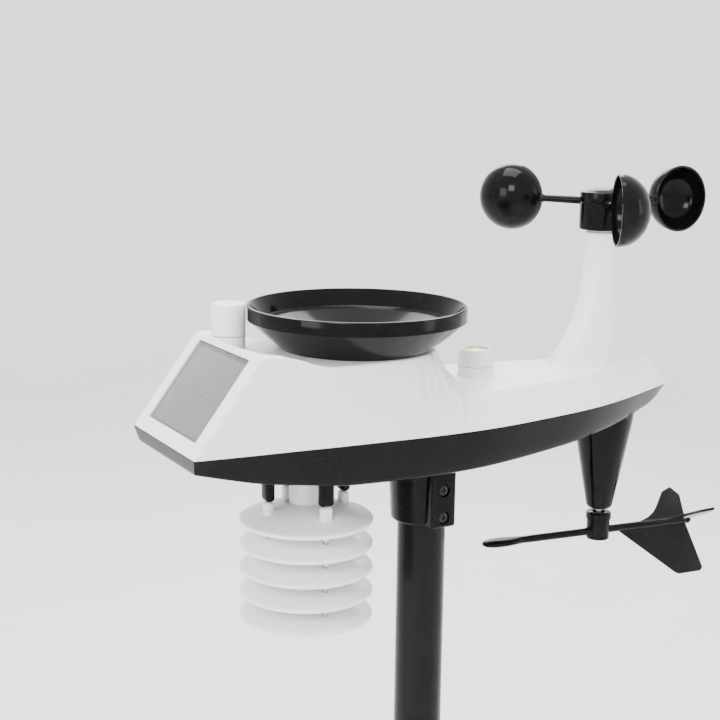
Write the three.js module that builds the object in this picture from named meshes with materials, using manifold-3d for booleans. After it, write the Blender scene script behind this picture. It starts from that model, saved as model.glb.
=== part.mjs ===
// Tripod weather station: sensor head on a two-piece mast, held up by a folding tripod.
// Millimetres, +Z up. The origin is on the mast axis at floor level, +X runs along the head
// from the solar panel towards the wind cups.

import * as THREE from 'three';
import { mergeVertices } from 'three/addons/utils/BufferGeometryUtils.js';
import ManifoldModule from 'manifold-3d';

const manifold = await ManifoldModule();
manifold.setup();
const { Manifold, Mesh: ManifoldMesh } = manifold;

// ---------------------------------------------------------------- driving dimensions

const gap = 0.3;              // between pieces that touch or slide on each other
const runningGap = 0.12;      // around a shaft or pin that turns
const wall = 2.4;             // moulded housing wall
const seamHeight = 700;       // floor to the line where the two housing halves meet

// mast
const mastRadius = 14;
const mastWall = 1.2;
const mastJointHeight = 480;  // where the upper section slides over the lower one
const mastSpigot = 45;        // length of the reduced end inside the upper section
const mastFootFloor = 3;
const mastFootWall = 3;
const mastFootHeight = 22;

// housing seam outline: [x, half width] from the flat stern to the round bow
const seamOutline = [[-159.5, 42.5], [-130.5, 45.4], [-103.4, 47.6], [-81, 49.6], [-56, 51.4], [-23, 53.4],
  [16, 52.6], [63, 45.4], [96, 38.1], [129, 26.6], [158, 13.6], [173, 6.8], [178.8, 3.1], [180.2, 0]];
const lowDeckHeight = 17.4;
const highDeckHeight = 49.2;
const sternLean = 0.755;      // the solar face leans this far per unit of height
const sideLean = 0.72;        // the same for the walls around the low deck
const edgeRound = 2.4;

// underside of the tray: [x, depth below the seam]
const trayDepth = [[-159.5, 9], [-140, 14], [-122, 18], [-98, 21.3], [-74, 24], [-32, 24.6], [10, 24],
  [73, 21.2], [122, 17.6], [166, 12.4], [180.2, 7]];

// rain gauge
const funnelX = -44.7;
const funnelRimRadius = 60.7;
const funnelRimTop = 64.8;
const funnelBandHeight = 7.7;
const funnelSeatRadius = 42.8;
const funnelWall = 2;
const funnelBowlRadius = 54.5; // where the rim's inner wall meets the bowl
const funnelBowlEdge = 55;
const funnelSkirtRadius = 38.8;
const funnelSkirtDepth = 6.2; // below the seat
const funnelDrainRadius = 3;
const funnelSpoutBottom = 31.5;
const funnelLugs = 3;
const funnelLugWidth = 20;    // degrees
const funnelLugHeight = 2;
const funnelLugReach = 1.6;
const funnelTwist = 30;       // degrees from locked to lift-off
const dishFloor = 41.2;
const dishFlatRadius = 57;
const dishLipRadius = 80;
const bucketLength = 60;
const bucketWidth = 20;
const bucketDepth = 14;
const bucketWall = 1.2;
const bucketPivotHeight = 4;
const bucketTilt = 13;        // degrees each way from level
const bucketPinRadius = 1.25;
const cradleFloor = -15;
const cradleThickness = 2;
const cradleLength = 66;
const cradleEarThickness = 2.5;

// solar panel, measured along the slope
const panelLength = 49;
const panelWidth = 64;
const panelThickness = 1.6;
const panelRecess = 0.9;
const panelLift = 8.6;        // lower edge above the stern edge, along the slope

// antenna cover and bubble level
const antennaX = -112;
const antennaY = 22;
const antennaRadius = 9.3;
const antennaTop = 67;
const antennaWall = 1.6;
const levelX = 35;
const levelBaseRadius = 10.4;
const levelBaseTop = 23.7;
const levelSkirtRadius = 10.9;
const levelTopRadius = 9.4;
const levelTop = 33.7;
const levelVialRadius = 7.2;
const levelVialDepth = 5;

// wind tower: [height, half length along X, half width along Y]
const towerX = 123.4;
const towerRings = [[10, 43, 19], [17.4, 38, 16.4], [20, 34.5, 15.5], [27.5, 28.6, 14.1], [34, 24, 13.2],
  [43, 18.6, 12.3], [51, 14.9, 11.7], [60, 12.2, 11], [72, 10.7, 10.4], [84, 9.8, 9.8], [98.2, 9.6, 9.6]];
const towerNeckRadius = 7.9;
const towerTop = 103;
const towerBoreRadius = 5.6;

// wind cups
const cupCount = 3;
const cupAngle = -0.5;        // degrees, first arm from +X
const cupRadius = 20.4;
const cupDepth = 17.6;        // arm's axis to the back of the cup
const cupWall = 1.4;
const cupArmLength = 60;      // axis to the middle of the cup
const cupArmHeight = 115.8;
const cupArmRadius = 2.4;
const cupArmTipRadius = 2.1;
const cupArmRoot = 3;         // arm sunk into the hub
const cupRimForward = 1.2;    // rim in front of the arm's axis
const hubRadius = 13.6;
const hubBottom = 99.3;
const hubCapEdge = 121.8;
const hubCapTop = 124.4;
const hubSkirtDepth = 5.2;
const rotorShaftRadius = 2;
const rotorShaftBottom = 30;
const rotorShaftTop = 113;
const bearingHeight = 5;
const lowerRotorBearingTop = 44;
const bearingShelfRadius = 4;

// wind vane
const vaneX = 131.6;
const vaneYaw = -7;           // degrees
const coneTopRadius = 17.8;
const coneBottomRadius = 7.9;
const coneBottom = -75.7;
const vaneShaftRadius = 2;
const vaneShaftTop = -14;
const vaneBearingRadius = 5;
const vaneHubRadius = 7.2;
const vaneHubTop = -78.9;
const vaneHubBottom = -96.4;
const vaneHubRing = 0.7;
const vaneRodHeight = -91.5;
const vaneRodRadius = 1.75;
const vaneRodEnd = 67;
const pointerTip = 81.4;
const pointerLeafLength = 31;
const pointerLeafWidth = 11;
const pointerLeafThickness = 2.6;
const finThickness = 1.6;
const largeFin = [[13, 0.6], [61.5, 35.6], [65.5, 37], [80, 36.8], [81.6, 34.4], [65, 0.6]];
const smallFin = [[27, 0.6], [45.8, 8.5], [62.5, 25.2], [66.2, 28], [71.6, 28.4], [73.2, 26.4], [73, 19.6],
  [66, 0.6]];
const smallFinRise = 30;      // degrees above level

// mast socket under the tray
const socketWall = 3.6;
const socketDraft = 1.9;      // the socket is this much wider at its root
const socketBottomRadius = mastRadius + socketWall + gap;
const socketTopRadius = socketBottomRadius + socketDraft;
const socketBottom = -63.4;
const mastTop = -27;
const padReach = mastRadius + 10; // pad face from the mast axis
const padHalfWidth = 8;
const boltHeights = [-41.5, -57.5];
const boltRadius = 2;
const boltHeadRadius = 3.2;
const boltHeadHeight = 2.4;
const boltRecessRadius = 3.6;
const boltRecessDepth = 3;
const nutAcross = 7;
const nutHeight = 3;

// radiation shield
const shieldX = -75.4;
const shieldPlates = 5;
const shieldPitch = 13.7;
const shieldRimRadius = 37.2;
const shieldRimHeight = 2.5;
const shieldFirstRimBottom = -54.1;
const shieldRise = 8.4;       // rim top to the inner edge
const shieldInnerRadius = 12;
const shieldPlateWall = 2;
const shieldTubeRadius = 9.5;
const shieldTubeWall = 1.5;
const shieldPostRadius = 23.3;
const shieldPostWidth = 8.5;
const shieldPostDepth = 5.5;
const shieldPostBottom = -40;
const shieldStudWidth = 6.7;
const shieldStudDepth = 4.8;
const shieldScrewRadius = 1.1;
const shieldScrewHead = 2.2;

// electronics and batteries
const boardThickness = 1.6;
const boardStart = 14;
const boardLength = 88;
const boardWidth = 44;
const boardClearance = 2.1;   // board above the batteries
const batteryRadius = 7.1;
const batteryLength = 48;
const batteryTipRadius = 2.6;
const batteryTipLength = 1.6;
const batteryCount = 3;
const batteryMiddleX = 71.5;
const batteryPitch = 2 * batteryRadius + 1;
const doorMargin = 2.5;
const doorScrewSpace = 8;     // extra length of the door under its screw
const doorLip = 4;            // ledge that the door closes against
const doorScrewRadius = 1.5;
const doorScrewHead = 3;
const buttonY = 12;
const buttonRadius = 3;
const buttonFlange = 4.4;
const buttonTravel = 1;

// tripod
const legCount = 3;
const firstLeg = 60;          // degrees from +X
const hubHeight = 340;        // hinge pins above the floor
const hubCollarRadius = mastRadius + 7;
const hubCollarHeight = 34;
const hingeReach = hubCollarRadius + 13; // mast axis to a hinge pin
const lugThickness = 4;
const knuckleWidth = 9;
const knuckleRadius = 8;
const hingePinRadius = 3;
const footReach = 270;        // mast axis to the middle of a foot
const legRadius = 8;
const legWall = 1.2;
const legSides = 18;
const footHeight = 26;
const footWall = 2.6;
const footFloor = 4;

// ---------------------------------------------------------------- materials

const material = (color, roughness, metalness = 0) =>
  new THREE.MeshStandardMaterial({ color, roughness, metalness });

const whiteShell = material(0xf1f2f2, 0.38);
const blackShell = material(0x0c0c0e, 0.16);
const blackTube = material(0x101012, 0.3, 0.4);
const blackPlastic = material(0x151517, 0.45);
const rubber = material(0x1b1b1c, 0.85);
const steel = material(0xb9bcc0, 0.28, 1);
const brass = material(0xb89a52, 0.35, 1);
const solarCell = material(0x8b9096, 0.3, 0.1);
const vialGreen = material(0xc8dc3c, 0.1);
const boardGreen = material(0x1f5a38, 0.5);
const batteryBlue = material(0x2e4a78, 0.4, 0.3);
const glass = material(0xcfd8d4, 0.08);

// ---------------------------------------------------------------- shape helpers

const radians = THREE.MathUtils.degToRad;

// A closed BufferGeometry with only positions, merged vertices and faces pointing out.
function closed(source) {
  const bare = source.clone();
  bare.deleteAttribute('normal');
  bare.deleteAttribute('uv');
  const merged = mergeVertices(bare, 1e-4);
  const position = merged.getAttribute('position');
  const index = merged.getIndex().array;
  const kept = [];
  const [a, b, c] = [new THREE.Vector3(), new THREE.Vector3(), new THREE.Vector3()];
  let volume = 0;
  for (let i = 0; i < index.length; i += 3) {
    const [p, q, r] = [index[i], index[i + 1], index[i + 2]];
    if (p === q || q === r || r === p) continue;
    kept.push(p, q, r);
    a.fromBufferAttribute(position, p);
    b.fromBufferAttribute(position, q);
    c.fromBufferAttribute(position, r);
    volume += a.dot(b.cross(c));
  }
  merged.setIndex(volume < 0 ? kept.reverse() : kept);
  return merged;
}

function solid(shape) {
  if (shape instanceof Manifold) return shape;
  const geometry = closed(shape);
  return new Manifold(new ManifoldMesh({
    numProp: 3,
    vertProperties: new Float32Array(geometry.getAttribute('position').array),
    triVerts: new Uint32Array(geometry.getIndex().array),
  }));
}

const join = (...shapes) => shapes.map(solid).reduce((whole, part) => whole.add(part));
const cut = (shape, ...tools) => tools.map(solid).reduce((left, tool) => left.subtract(tool), solid(shape));
const common = (...shapes) => shapes.map(solid).reduce((left, part) => left.intersect(part));

function geometryOf(shape) {
  if (!(shape instanceof Manifold)) return closed(shape);
  const { vertProperties, triVerts } = shape.getMesh();
  const geometry = new THREE.BufferGeometry();
  geometry.setAttribute('position', new THREE.BufferAttribute(new Float32Array(vertProperties), 3));
  geometry.setIndex([...triVerts]);
  return geometry;
}

// [radius, height] profile turned about Z; it starts and ends on the axis, or closes on itself.
function turned(profile, sides = 28, x = 0, y = 0) {
  const points = profile.map(([radius, height]) => new THREE.Vector2(radius, height));
  return new THREE.LatheGeometry(points, sides).rotateX(Math.PI / 2).translate(x, y, 0);
}

function rod(radius, bottom, top, x = 0, y = 0, sides = 16) {
  return turned([[0, bottom], [radius, bottom], [radius, top], [0, top]], sides, x, y);
}

function ring(outer, inner, bottom, top, x = 0, y = 0, sides = 20) {
  return turned([[inner, bottom], [outer, bottom], [outer, top], [inner, top], [inner, bottom]],
    sides, x, y);
}

const rodX = (radius, start, end, y, z, sides = 10) =>
  rod(radius, start, end, 0, 0, sides).rotateY(Math.PI / 2).translate(0, y, z);
const rodY = (radius, start, end, x, z, sides = 10) =>
  rod(radius, start, end, 0, 0, sides).rotateX(-Math.PI / 2).translate(x, 0, z);

function block([x0, x1], [y0, y1], [z0, z1]) {
  return new THREE.BoxGeometry(x1 - x0, y1 - y0, z1 - z0)
    .translate((x0 + x1) / 2, (y0 + y1) / 2, (z0 + z1) / 2);
}

// An outline in the XY plane, raised from bottom to top.
function plate(outline, bottom, top) {
  const shape = new THREE.Shape(outline.map(([x, y]) => new THREE.Vector2(x, y)));
  return new THREE.ExtrudeGeometry(shape, { depth: top - bottom, bevelEnabled: false }).translate(0, 0,
    bottom);
}

// An outline of [x, z] points, carried along Y from start to end.
const plateY = (outline, start, end) => plate(outline, -end, -start).rotateX(Math.PI / 2);

// Rings of [x, y, z] points on the +Y side, mirrored to the -Y side and skinned into a closed body.
function mirroredLoft(halfRings) {
  const rings = halfRings.map((half) => [...half, ...half.map(([x, y, z]) => [x, -y, z]).reverse()]);
  const count = rings[0].length;
  const position = new Float32Array(rings.flat(2));
  const index = [];
  for (let k = 0; k < rings.length - 1; k += 1) {
    for (let j = 0; j < count; j += 1) {
      const here = k * count + j;
      const next = k * count + (j + 1) % count;
      index.push(here, next, next + count, here, next + count, here + count);
    }
  }
  const last = (rings.length - 1) * count;
  for (let j = 0; j < count / 2 - 1; j += 1) {
    const mirror = count - 1 - j;
    index.push(j, mirror, mirror - 1, j, mirror - 1, j + 1);
    index.push(last + j, last + mirror - 1, last + mirror, last + j, last + j + 1, last + mirror - 1);
  }
  const geometry = new THREE.BufferGeometry();
  geometry.setAttribute('position', new THREE.BufferAttribute(position, 3));
  geometry.setIndex(index);
  return geometry;
}

// Smooth value at x of a list of [x, value] points.
function along(points, x) {
  const last = points.length - 1;
  if (x <= points[0][0]) return points[0][1];
  if (x >= points[last][0]) return points[last][1];
  const i = points.findIndex((point) => point[0] > x) - 1;
  const slope = (j) => {
    const before = points[Math.max(j - 1, 0)];
    const after = points[Math.min(j + 1, last)];
    return (after[1] - before[1]) / (after[0] - before[0]);
  };
  const span = points[i + 1][0] - points[i][0];
  const t = (x - points[i][0]) / span;
  const h = [2 * t ** 3 - 3 * t ** 2 + 1, t ** 3 - 2 * t ** 2 + t, 3 * t ** 2 - 2 * t ** 3, t ** 3 - t ** 2];
  return h[0] * points[i][1] + h[1] * span * slope(i) + h[2] * points[i + 1][1] + h[3] * span * slope(i + 1);
}

function range(count, start, end) {
  return Array.from({ length: count }, (_, i) => start + (end - start) * i / (count - 1));
}

// ---------------------------------------------------------------- housing shapes

const stern = seamOutline[0][0];
const bow = seamOutline[seamOutline.length - 1][0];
const halfWidth = (x) => along(seamOutline, x);
const depthAt = (x) => along(trayDepth, x);
const bowPoints = [170, 176, 179.2];
const hullStations = [...range(12, stern, 158), ...bowPoints, bow];
const innerStations = [...range(7, stern, 158), 172, bow];

// The seam outline drawn in by an inset, with its two ends moved by their own amounts.
function insetOutline(inset, sternInset, bowInset, height, stations = hullStations) {
  const scale = (bow - stern - sternInset - bowInset) / (bow - stern);
  return stations.map((station) => {
    const half = halfWidth(station);
    const x = stern + sternInset + (station - stern) * scale;
    return [x, half * half / (half + inset * 1.33 + 1e-6), height(x)];
  });
}

// Body around the low deck; skin shrinks it to the inside of the wall.
function lowHull(skin) {
  const top = lowDeckHeight - skin;
  const layers = skin ? [0, top] : [0, top - edgeRound, top];
  const extra = [0, 0, edgeRound];
  return mirroredLoft(layers.map((z, i) =>
    insetOutline(sideLean * z + extra[i] + skin, sternLean * z + skin * 1.25, sideLean * z + extra[i] + skin,
      () => z, skin ? innerStations : hullStations)));
}

// Walls of the high deck lean in more and more towards the low deck.
const highLean = (x) => along([[stern, 0.07], [-122, 0.08], [funnelX, 0.19], [-12, 0.5], [16, sideLean]], x);

function highBody(skin) {
  const top = highDeckHeight - skin;
  const ribs = range(skin ? 6 : 8, stern, 16).map((x) => {
    const foot = halfWidth(x) - skin;
    const shoulder = foot - highLean(x) * (top - edgeRound);
    return [[x, foot, 0], [x, shoulder, top - edgeRound], [x, shoulder - edgeRound, top]];
  });
  const wedgeBase = stern + skin * 1.25;
  const solarCut = plateY([[wedgeBase - 60, -1], [wedgeBase - sternLean, -1],
    [wedgeBase + sternLean * 80, 80], [wedgeBase - 60, 80]], -80, 80);
  return cut(mirroredLoft(ribs), solarCut);
}

// Cone that carries the funnel on the low-deck side.
function seatCone(skin) {
  const top = dishFloor - skin;
  return turned([[0, -1], [66 - skin, -1], [60.5 - skin, lowDeckHeight], [53.5 - skin, 25],
    [50.2 - skin, 28],
    [43.6 - skin * 0.6, top], [0, top]], skin ? 16 : 32, funnelX);
}

// The dished recess around the funnel.
function dishCut(skin) {
  const floor = dishFloor - skin;
  const rise = highDeckHeight - dishFloor;
  return turned([[0, floor], [dishFlatRadius, floor], [dishFlatRadius + 7, floor + rise * 0.2],
    [dishFlatRadius + 12, floor + rise * 0.52], [dishFlatRadius + 19, floor + rise * 0.86],
    [dishLipRadius + 4, floor + rise + 4], [0, floor + rise + 4]], skin ? 16 : 32, funnelX);
}

function tower(skin) {
  const levels = towerRings.filter((_, i) => !skin || i % 2 === 0);
  const rings = levels.map(([z, halfLength, halfBreadth]) => {
    const a = Math.max(halfLength - skin, towerBoreRadius);
    const b = Math.max(halfBreadth - skin, towerBoreRadius);
    return range(skin ? 6 : 9, 0, Math.PI).map((angle) => [towerX - a * Math.cos(angle),
      b * Math.sin(angle), z]);
  });
  const flare = mirroredLoft(rings);
  const deckReach = mirroredLoft([0, 200].map((z) =>
    insetOutline(sideLean * lowDeckHeight + edgeRound + skin, 12, sideLean * lowDeckHeight + edgeRound,
      () => z)));
  return common(flare, deckReach);
}

function upperShape(skin) {
  const beyondFunnel = block([-400, funnelX], [-200, 200], [-10, 200]);
  const body = highBody(skin);
  const sternPart = common(body, beyondFunnel);
  const seatPart = common(body, seatCone(skin));
  return cut(join(lowHull(skin), sternPart, seatPart), dishCut(skin));
}

// Placement of things that lie in the solar face: X up the slope, Z out of the face.
const slopeAngle = Math.atan2(1, sternLean);
function onSlope(geometry) {
  const up = new THREE.Vector3(Math.cos(slopeAngle), 0, Math.sin(slopeAngle));
  const out = new THREE.Vector3(-Math.sin(slopeAngle), 0, Math.cos(slopeAngle));
  const basis = new THREE.Matrix4().makeBasis(up, out.clone().cross(up), out);
  return geometry.applyMatrix4(basis.setPosition(stern, 0, 0));
}

// ---------------------------------------------------------------- pieces of the head

const parts = new THREE.Group();

function add(parent, name, shape, look) {
  const mesh = new THREE.Mesh(geometryOf(shape), look);
  mesh.name = name;
  parent.add(mesh);
  return mesh;
}

const head = new THREE.Group();
head.position.z = seamHeight;
parts.add(head);

const seatOpening = funnelSkirtRadius + gap;
const lugOuter = funnelSkirtRadius + funnelLugReach;
const seatUnderside = dishFloor - wall;

function sector(radius, width, angle, bottom, top) {
  const arc = range(5, radians(angle - width / 2), radians(angle + width / 2));
  const outline = [[0, 0], ...arc.map((a) => [radius * Math.cos(a), radius * Math.sin(a)])];
  return plate(outline, bottom, top).translate(funnelX, 0, 0);
}

const lugAngles = range(funnelLugs, 0, 360 * (funnelLugs - 1) / funnelLugs);

function upperHousing() {
  const shell = cut(join(upperShape(0), tower(0)), upperShape(wall), tower(wall));
  const neck = rod(towerNeckRadius, 90, towerTop, towerX);
  const tube = rod(towerBoreRadius + wall, rotorShaftBottom - 4, 92, towerX, 0, 16);
  const shelf = ring(towerBoreRadius + 0.4, bearingShelfRadius,
    lowerRotorBearingTop - bearingHeight - 2 - gap,
    lowerRotorBearingTop - bearingHeight - gap, towerX);
  const levelBoss = rod(levelBaseRadius, lowDeckHeight - wall, levelBaseTop, levelX, 0, 24);
  const rim = rod(levelTopRadius - 2, levelBaseTop - 1, levelBaseTop + 4, levelX, 0, 20);
  const sunPocket = onSlope(block([panelLift - gap, panelLift + panelLength + gap],
    [-panelWidth / 2 - gap, panelWidth / 2 + gap], [-panelRecess - panelThickness - gap, 1]));
  const sunBacking = onSlope(block([panelLift - 3, panelLift + panelLength + 3],
    [-panelWidth / 2 - 3, panelWidth / 2 + 3], [-panelRecess - panelThickness - gap - 1.6, -0.6]));
  const antennaBoss = rod(antennaRadius, dishFloor, highDeckHeight, antennaX, antennaY, 24);
  const antennaHole = rod(antennaRadius - antennaWall + gap, highDeckHeight - 10, highDeckHeight + 5,
    antennaX, antennaY);
  const seatHole = rod(seatOpening, 0, 60, funnelX, 0, 32);
  const lugSlots = lugAngles.map((angle) =>
    sector(lugOuter + gap, funnelLugWidth + 4, angle + funnelTwist, 20, 60));
  const bore = rod(towerBoreRadius, 20, 120, towerX);
  const lugGroove = rod(lugOuter + gap, 20, seatUnderside, funnelX, 0, 32);
  const throughShelf = rod(bearingShelfRadius, 0, 120, towerX);
  const body = cut(join(shell, neck, tube, levelBoss, rim, sunBacking, antennaBoss),
    sunPocket, antennaHole, seatHole,
    ...lugSlots, bore, lugGroove);
  return join(body, cut(shelf, throughShelf));
}

function trayShape(skin) {
  const rounded = [[0, 0, 0], [0.82, 3.2, 1.8], [0.96, 5.2, 3], [1, 9, 5.5]];
  const layers = skin ? [rounded[0], rounded[2], rounded[3]] : rounded;
  return mirroredLoft(layers.map(([share, inset, sternInset]) =>
    insetOutline(inset + skin, sternInset + skin, inset * 1.3 + skin, (x) => -share * (depthAt(x) - skin),
      skin ? innerStations : hullStations)));
}

const doorHalfX = batteryPitch * batteryCount / 2 + doorMargin;
const doorHalfY = batteryLength / 2 + 3;
const doorStart = batteryMiddleX - doorHalfX - doorScrewSpace;
const doorScrewSpot = doorStart + 5.5;
const buttonX = doorStart - doorLip - buttonFlange - gap;
const doorPrism = (grow) => block([doorStart - grow, batteryMiddleX + doorHalfX + grow],
  [-doorHalfY - grow, doorHalfY + grow], [-60, 0]);

function lowerHousing() {
  const shell = cut(trayShape(0), join(trayShape(wall), plate([[-150, -30], [170, -5], [170, 5],
    [-150, 30]], -0.5, 1)));
  const socket = turned([[0, -18], [socketTopRadius + 4.2, -18], [socketTopRadius + 2.4, -24.5],
    [socketTopRadius, -29],
    [socketBottomRadius + 0.2, socketBottom + 2],
    [socketBottomRadius - 1, socketBottom], [0, socketBottom]], 24);
  const pad = block([-padHalfWidth, padHalfWidth], [-padReach, padReach], [socketBottom, -18]);
  const cone = turned([[0, -8], [19.2, -8], [18.5, -15], [coneTopRadius, -22],
    [coneBottomRadius + 0.3, coneBottom + 1.6],
    [coneBottomRadius - 1.2, coneBottom], [0, coneBottom]], 24, vaneX);
  const posts = [0, 90, 180, 270].map((angle) =>
    block([shieldPostRadius - shieldPostDepth / 2, shieldPostRadius + shieldPostDepth / 2],
      [-shieldPostWidth / 2, shieldPostWidth / 2], [shieldPostBottom, -19])
      .rotateZ(radians(angle)).translate(shieldX, 0, 0));
  const postHoles = [0, 90, 180, 270].map((angle) => rod(shieldScrewRadius + 0.2, shieldPostBottom - 1, -24,
    shieldX + shieldPostRadius * Math.cos(radians(angle)), shieldPostRadius * Math.sin(radians(angle)), 8));
  const outside = cut(join(socket, pad, cone, ...posts), trayShape(wall));
  const mastBore = rod(mastRadius + gap, socketBottom - 1, mastTop + gap, 0, 0, 24);
  const boltHoles = boltHeights.map((z) => rodY(boltRadius + 0.2, -40, 40, 0, z, 8));
  const headRecesses = boltHeights.map((z) => rodY(boltRecessRadius, -40, -padReach + boltRecessDepth, 0,
    z));
  const nutRecesses = boltHeights.map((z) =>
    rodY(nutAcross / Math.sqrt(3) + gap, padReach - nutHeight - 1, 40, 0, z, 6));
  const vaneBore = rod(vaneBearingRadius + gap / 2, coneBottom - 1, coneBottom + bearingHeight + 1.5, vaneX);
  const vaneWell = turned([[0, coneBottom + bearingHeight + 1],
    [vaneShaftRadius + 1, coneBottom + bearingHeight + 1],
    [vaneShaftRadius + 1.5, coneBottom + 20], [coneTopRadius - 2 * wall, -26],
    [coneTopRadius - 2 * wall, 0], [0, 0]],
  14, vaneX);
  const shieldHole = rod(shieldTubeRadius - shieldTubeWall, -40, 0, shieldX);
  const drains = [-1, 1].map((side) => rod(4, -40, 0, funnelX + side * 22 + 4, 27, 16));
  const buttonHole = rod(buttonRadius + gap, -60, 0, buttonX, buttonY, 20);
  const boss = cut(block([doorScrewSpot - 4, doorScrewSpot + 4], [-4, 4], [-20, -7]),
    rod(doorScrewRadius + gap / 2, -60, 0, doorScrewSpot, 0, 16));
  const lip = common(cut(trayShape(wall + gap), trayShape(wall + 2.2)), cut(doorPrism(doorLip),
    doorPrism(-2)));
  const lipRoot = common(cut(trayShape(wall - 0.4), trayShape(wall + 2.2)), cut(doorPrism(doorLip),
    doorPrism(gap)));
  const tray = cut(join(shell, outside), mastBore, ...boltHoles, ...headRecesses, ...nutRecesses, vaneBore,
    vaneWell,
    ...postHoles, shieldHole, ...drains, buttonHole, doorPrism(gap));
  const bridge = block([doorScrewSpot - 4, doorScrewSpot + 4], [-doorHalfY - 3, -3.5], [-18.8, -16]);
  return join(tray, lip, lipRoot, boss, bridge);
}


// ---------------------------------------------------------------- head pieces

function solarPanel() {
  return onSlope(block([panelLift, panelLift + panelLength], [-panelWidth / 2, panelWidth / 2],
    [-panelRecess - panelThickness, -panelRecess]));
}

function antennaCover() {
  const inner = antennaRadius - antennaWall;
  return turned([[inner - antennaWall, highDeckHeight - 6], [inner, highDeckHeight - 6],
    [inner, highDeckHeight + gap],
    [antennaRadius, highDeckHeight + gap], [antennaRadius, antennaTop - 1], [antennaRadius - 1, antennaTop],
    [0, antennaTop], [0, antennaTop - antennaWall], [inner - antennaWall, antennaTop - antennaWall],
    [inner - antennaWall, highDeckHeight - 6]], 24, antennaX, antennaY);
}

const antennaWhip = () => rod(1.2, boardHeight + 12, antennaTop - antennaWall - 2, antennaX, antennaY, 10);

function levelHousing() {
  return turned([[levelTopRadius - 1.6, levelBaseTop + gap], [levelSkirtRadius - 0.5, levelBaseTop + gap],
    [levelTopRadius - 0.4, levelTop - 0.8], [levelTopRadius - 1, levelTop],
    [levelVialRadius + gap, levelTop],
    [levelVialRadius + gap, levelTop - levelVialDepth - gap],
    [levelTopRadius - 1.6, levelTop - levelVialDepth - gap],
    [levelTopRadius - 1.6, levelBaseTop + gap]], 30, levelX);
}

const levelVial = () => rod(levelVialRadius, levelTop - levelVialDepth, levelTop - 0.4, levelX, 0, 24);

function funnel() {
  const seat = dishFloor + gap;
  const bandBottom = funnelRimTop - funnelBandHeight;
  const profile = [[funnelSkirtRadius - funnelWall, seatUnderside - funnelSkirtDepth + wall],
    [funnelSkirtRadius, seatUnderside - funnelSkirtDepth + wall], [funnelSkirtRadius, seat],
    [funnelSeatRadius, seat],
    [funnelRimRadius, bandBottom], [funnelRimRadius, funnelRimTop - 0.6],
    [funnelRimRadius - 0.8, funnelRimTop],
    [funnelRimRadius - funnelWall, funnelRimTop], [funnelBowlRadius, funnelBowlEdge],
    [funnelDrainRadius + 2, seat - 0.2], [funnelDrainRadius, seat - 3],
    [funnelDrainRadius, funnelSpoutBottom],
    [funnelDrainRadius + 1.5, funnelSpoutBottom], [funnelDrainRadius + 1.5, seat - 4],
    [funnelDrainRadius + 2.5, seat - 2.6], [funnelSkirtRadius - funnelWall, seat + 5.6],
    [funnelSkirtRadius - funnelWall, seatUnderside - funnelSkirtDepth + wall]];
  const lugTop = seatUnderside - gap;
  const lugRing = lugAngles.map((angle) => cut(
    sector(lugOuter, funnelLugWidth, angle, lugTop - funnelLugHeight, lugTop),
    rod(funnelSkirtRadius - 0.5, 0, 60, funnelX, 0, 40)));
  return join(turned(profile, 36, funnelX), ...lugRing);
}

// Everything about the tipping bucket is drawn around its pivot, level, with X along the bucket.
const bucketFloor = 4.5;
const bucketRim = bucketFloor + bucketDepth;
const dividerTop = bucketRim + 5;
const earInner = bucketWidth / 2 + 1.2;
const earOuter = earInner + cradleEarThickness;

function tippingBucket() {
  const half = bucketLength / 2;
  const side = bucketWidth / 2;
  const outer = plateY([[-half, bucketRim], [-8, bucketFloor], [8, bucketFloor], [half, bucketRim]],
    -side, side);
  const slopeLift = bucketWall * 1.6;
  const pocket = (sign) => plateY([[sign * (bucketWall / 2), bucketFloor + bucketWall],
    [sign * 7.4, bucketFloor + bucketWall], [sign * (half - slopeLift), bucketRim + 0.01],
    [sign * (half - slopeLift), bucketRim + 3], [sign * (bucketWall / 2), bucketRim + 3]],
  -side + bucketWall, side - bucketWall);
  const divider = block([-bucketWall / 2, bucketWall / 2], [-side, side], [bucketFloor, dividerTop]);
  const boss = rodY(3.4, -side + 2, side - 2, 0, 0, 20);
  const web = block([-2, 2], [-side + 2, side - 2], [0, bucketFloor + 0.5]);
  const bore = rodY(bucketPinRadius + runningGap, -side, side, 0, 0, 20);
  return cut(join(cut(join(outer, divider), pocket(-1), pocket(1)), boss, web), bore);
}

const bucketPin = () => rodY(bucketPinRadius, -earOuter, earOuter, 0, 0, 20);

function bucketCradle() {
  const floor = cradleFloor - bucketPivotHeight;
  const base = block([-cradleLength / 2, cradleLength / 2], [-earOuter - 4, earOuter + 4],
    [floor, floor + cradleThickness]);
  const ears = [-1, 1].map((side) => cut(
    block([-6, 6], [Math.min(side * earInner, side * earOuter), Math.max(side * earInner, side * earOuter)],
      [floor, 4]),
    rodY(bucketPinRadius + gap / 2, -50, 50, 0, 0, 20)));
  const stopX = 20;
  const bottomAt = bucketFloor + (stopX - 8) * bucketDepth / (bucketLength / 2 - 8);
  const tilt = radians(bucketTilt);
  const contactZ = bottomAt * Math.cos(tilt) - stopX * Math.sin(tilt);
  const contactX = stopX * Math.cos(tilt) + bottomAt * Math.sin(tilt);
  const slope = Math.atan(bucketDepth / (bucketLength / 2 - 8)) - tilt;
  const stops = [-1, 1].map((sign) => {
    const top = contactZ - gap;
    return plateY([[sign * (contactX - 3), floor], [sign * (contactX + 3), floor],
      [sign * (contactX + 3), top + 3 * Math.tan(slope)], [sign * (contactX - 3),
      top - 3 * Math.tan(slope)]], -6, 6);
  });
  const drains = [-1, 1].map((sign) => rod(5, floor - 5, floor + 5, sign * 13, 0, 20));
  return cut(join(base, ...ears, ...stops), ...drains);
}

const reedSwitch = () => rodX(1.2, -8, 8, earOuter + 1.6, 0, 12);

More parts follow.
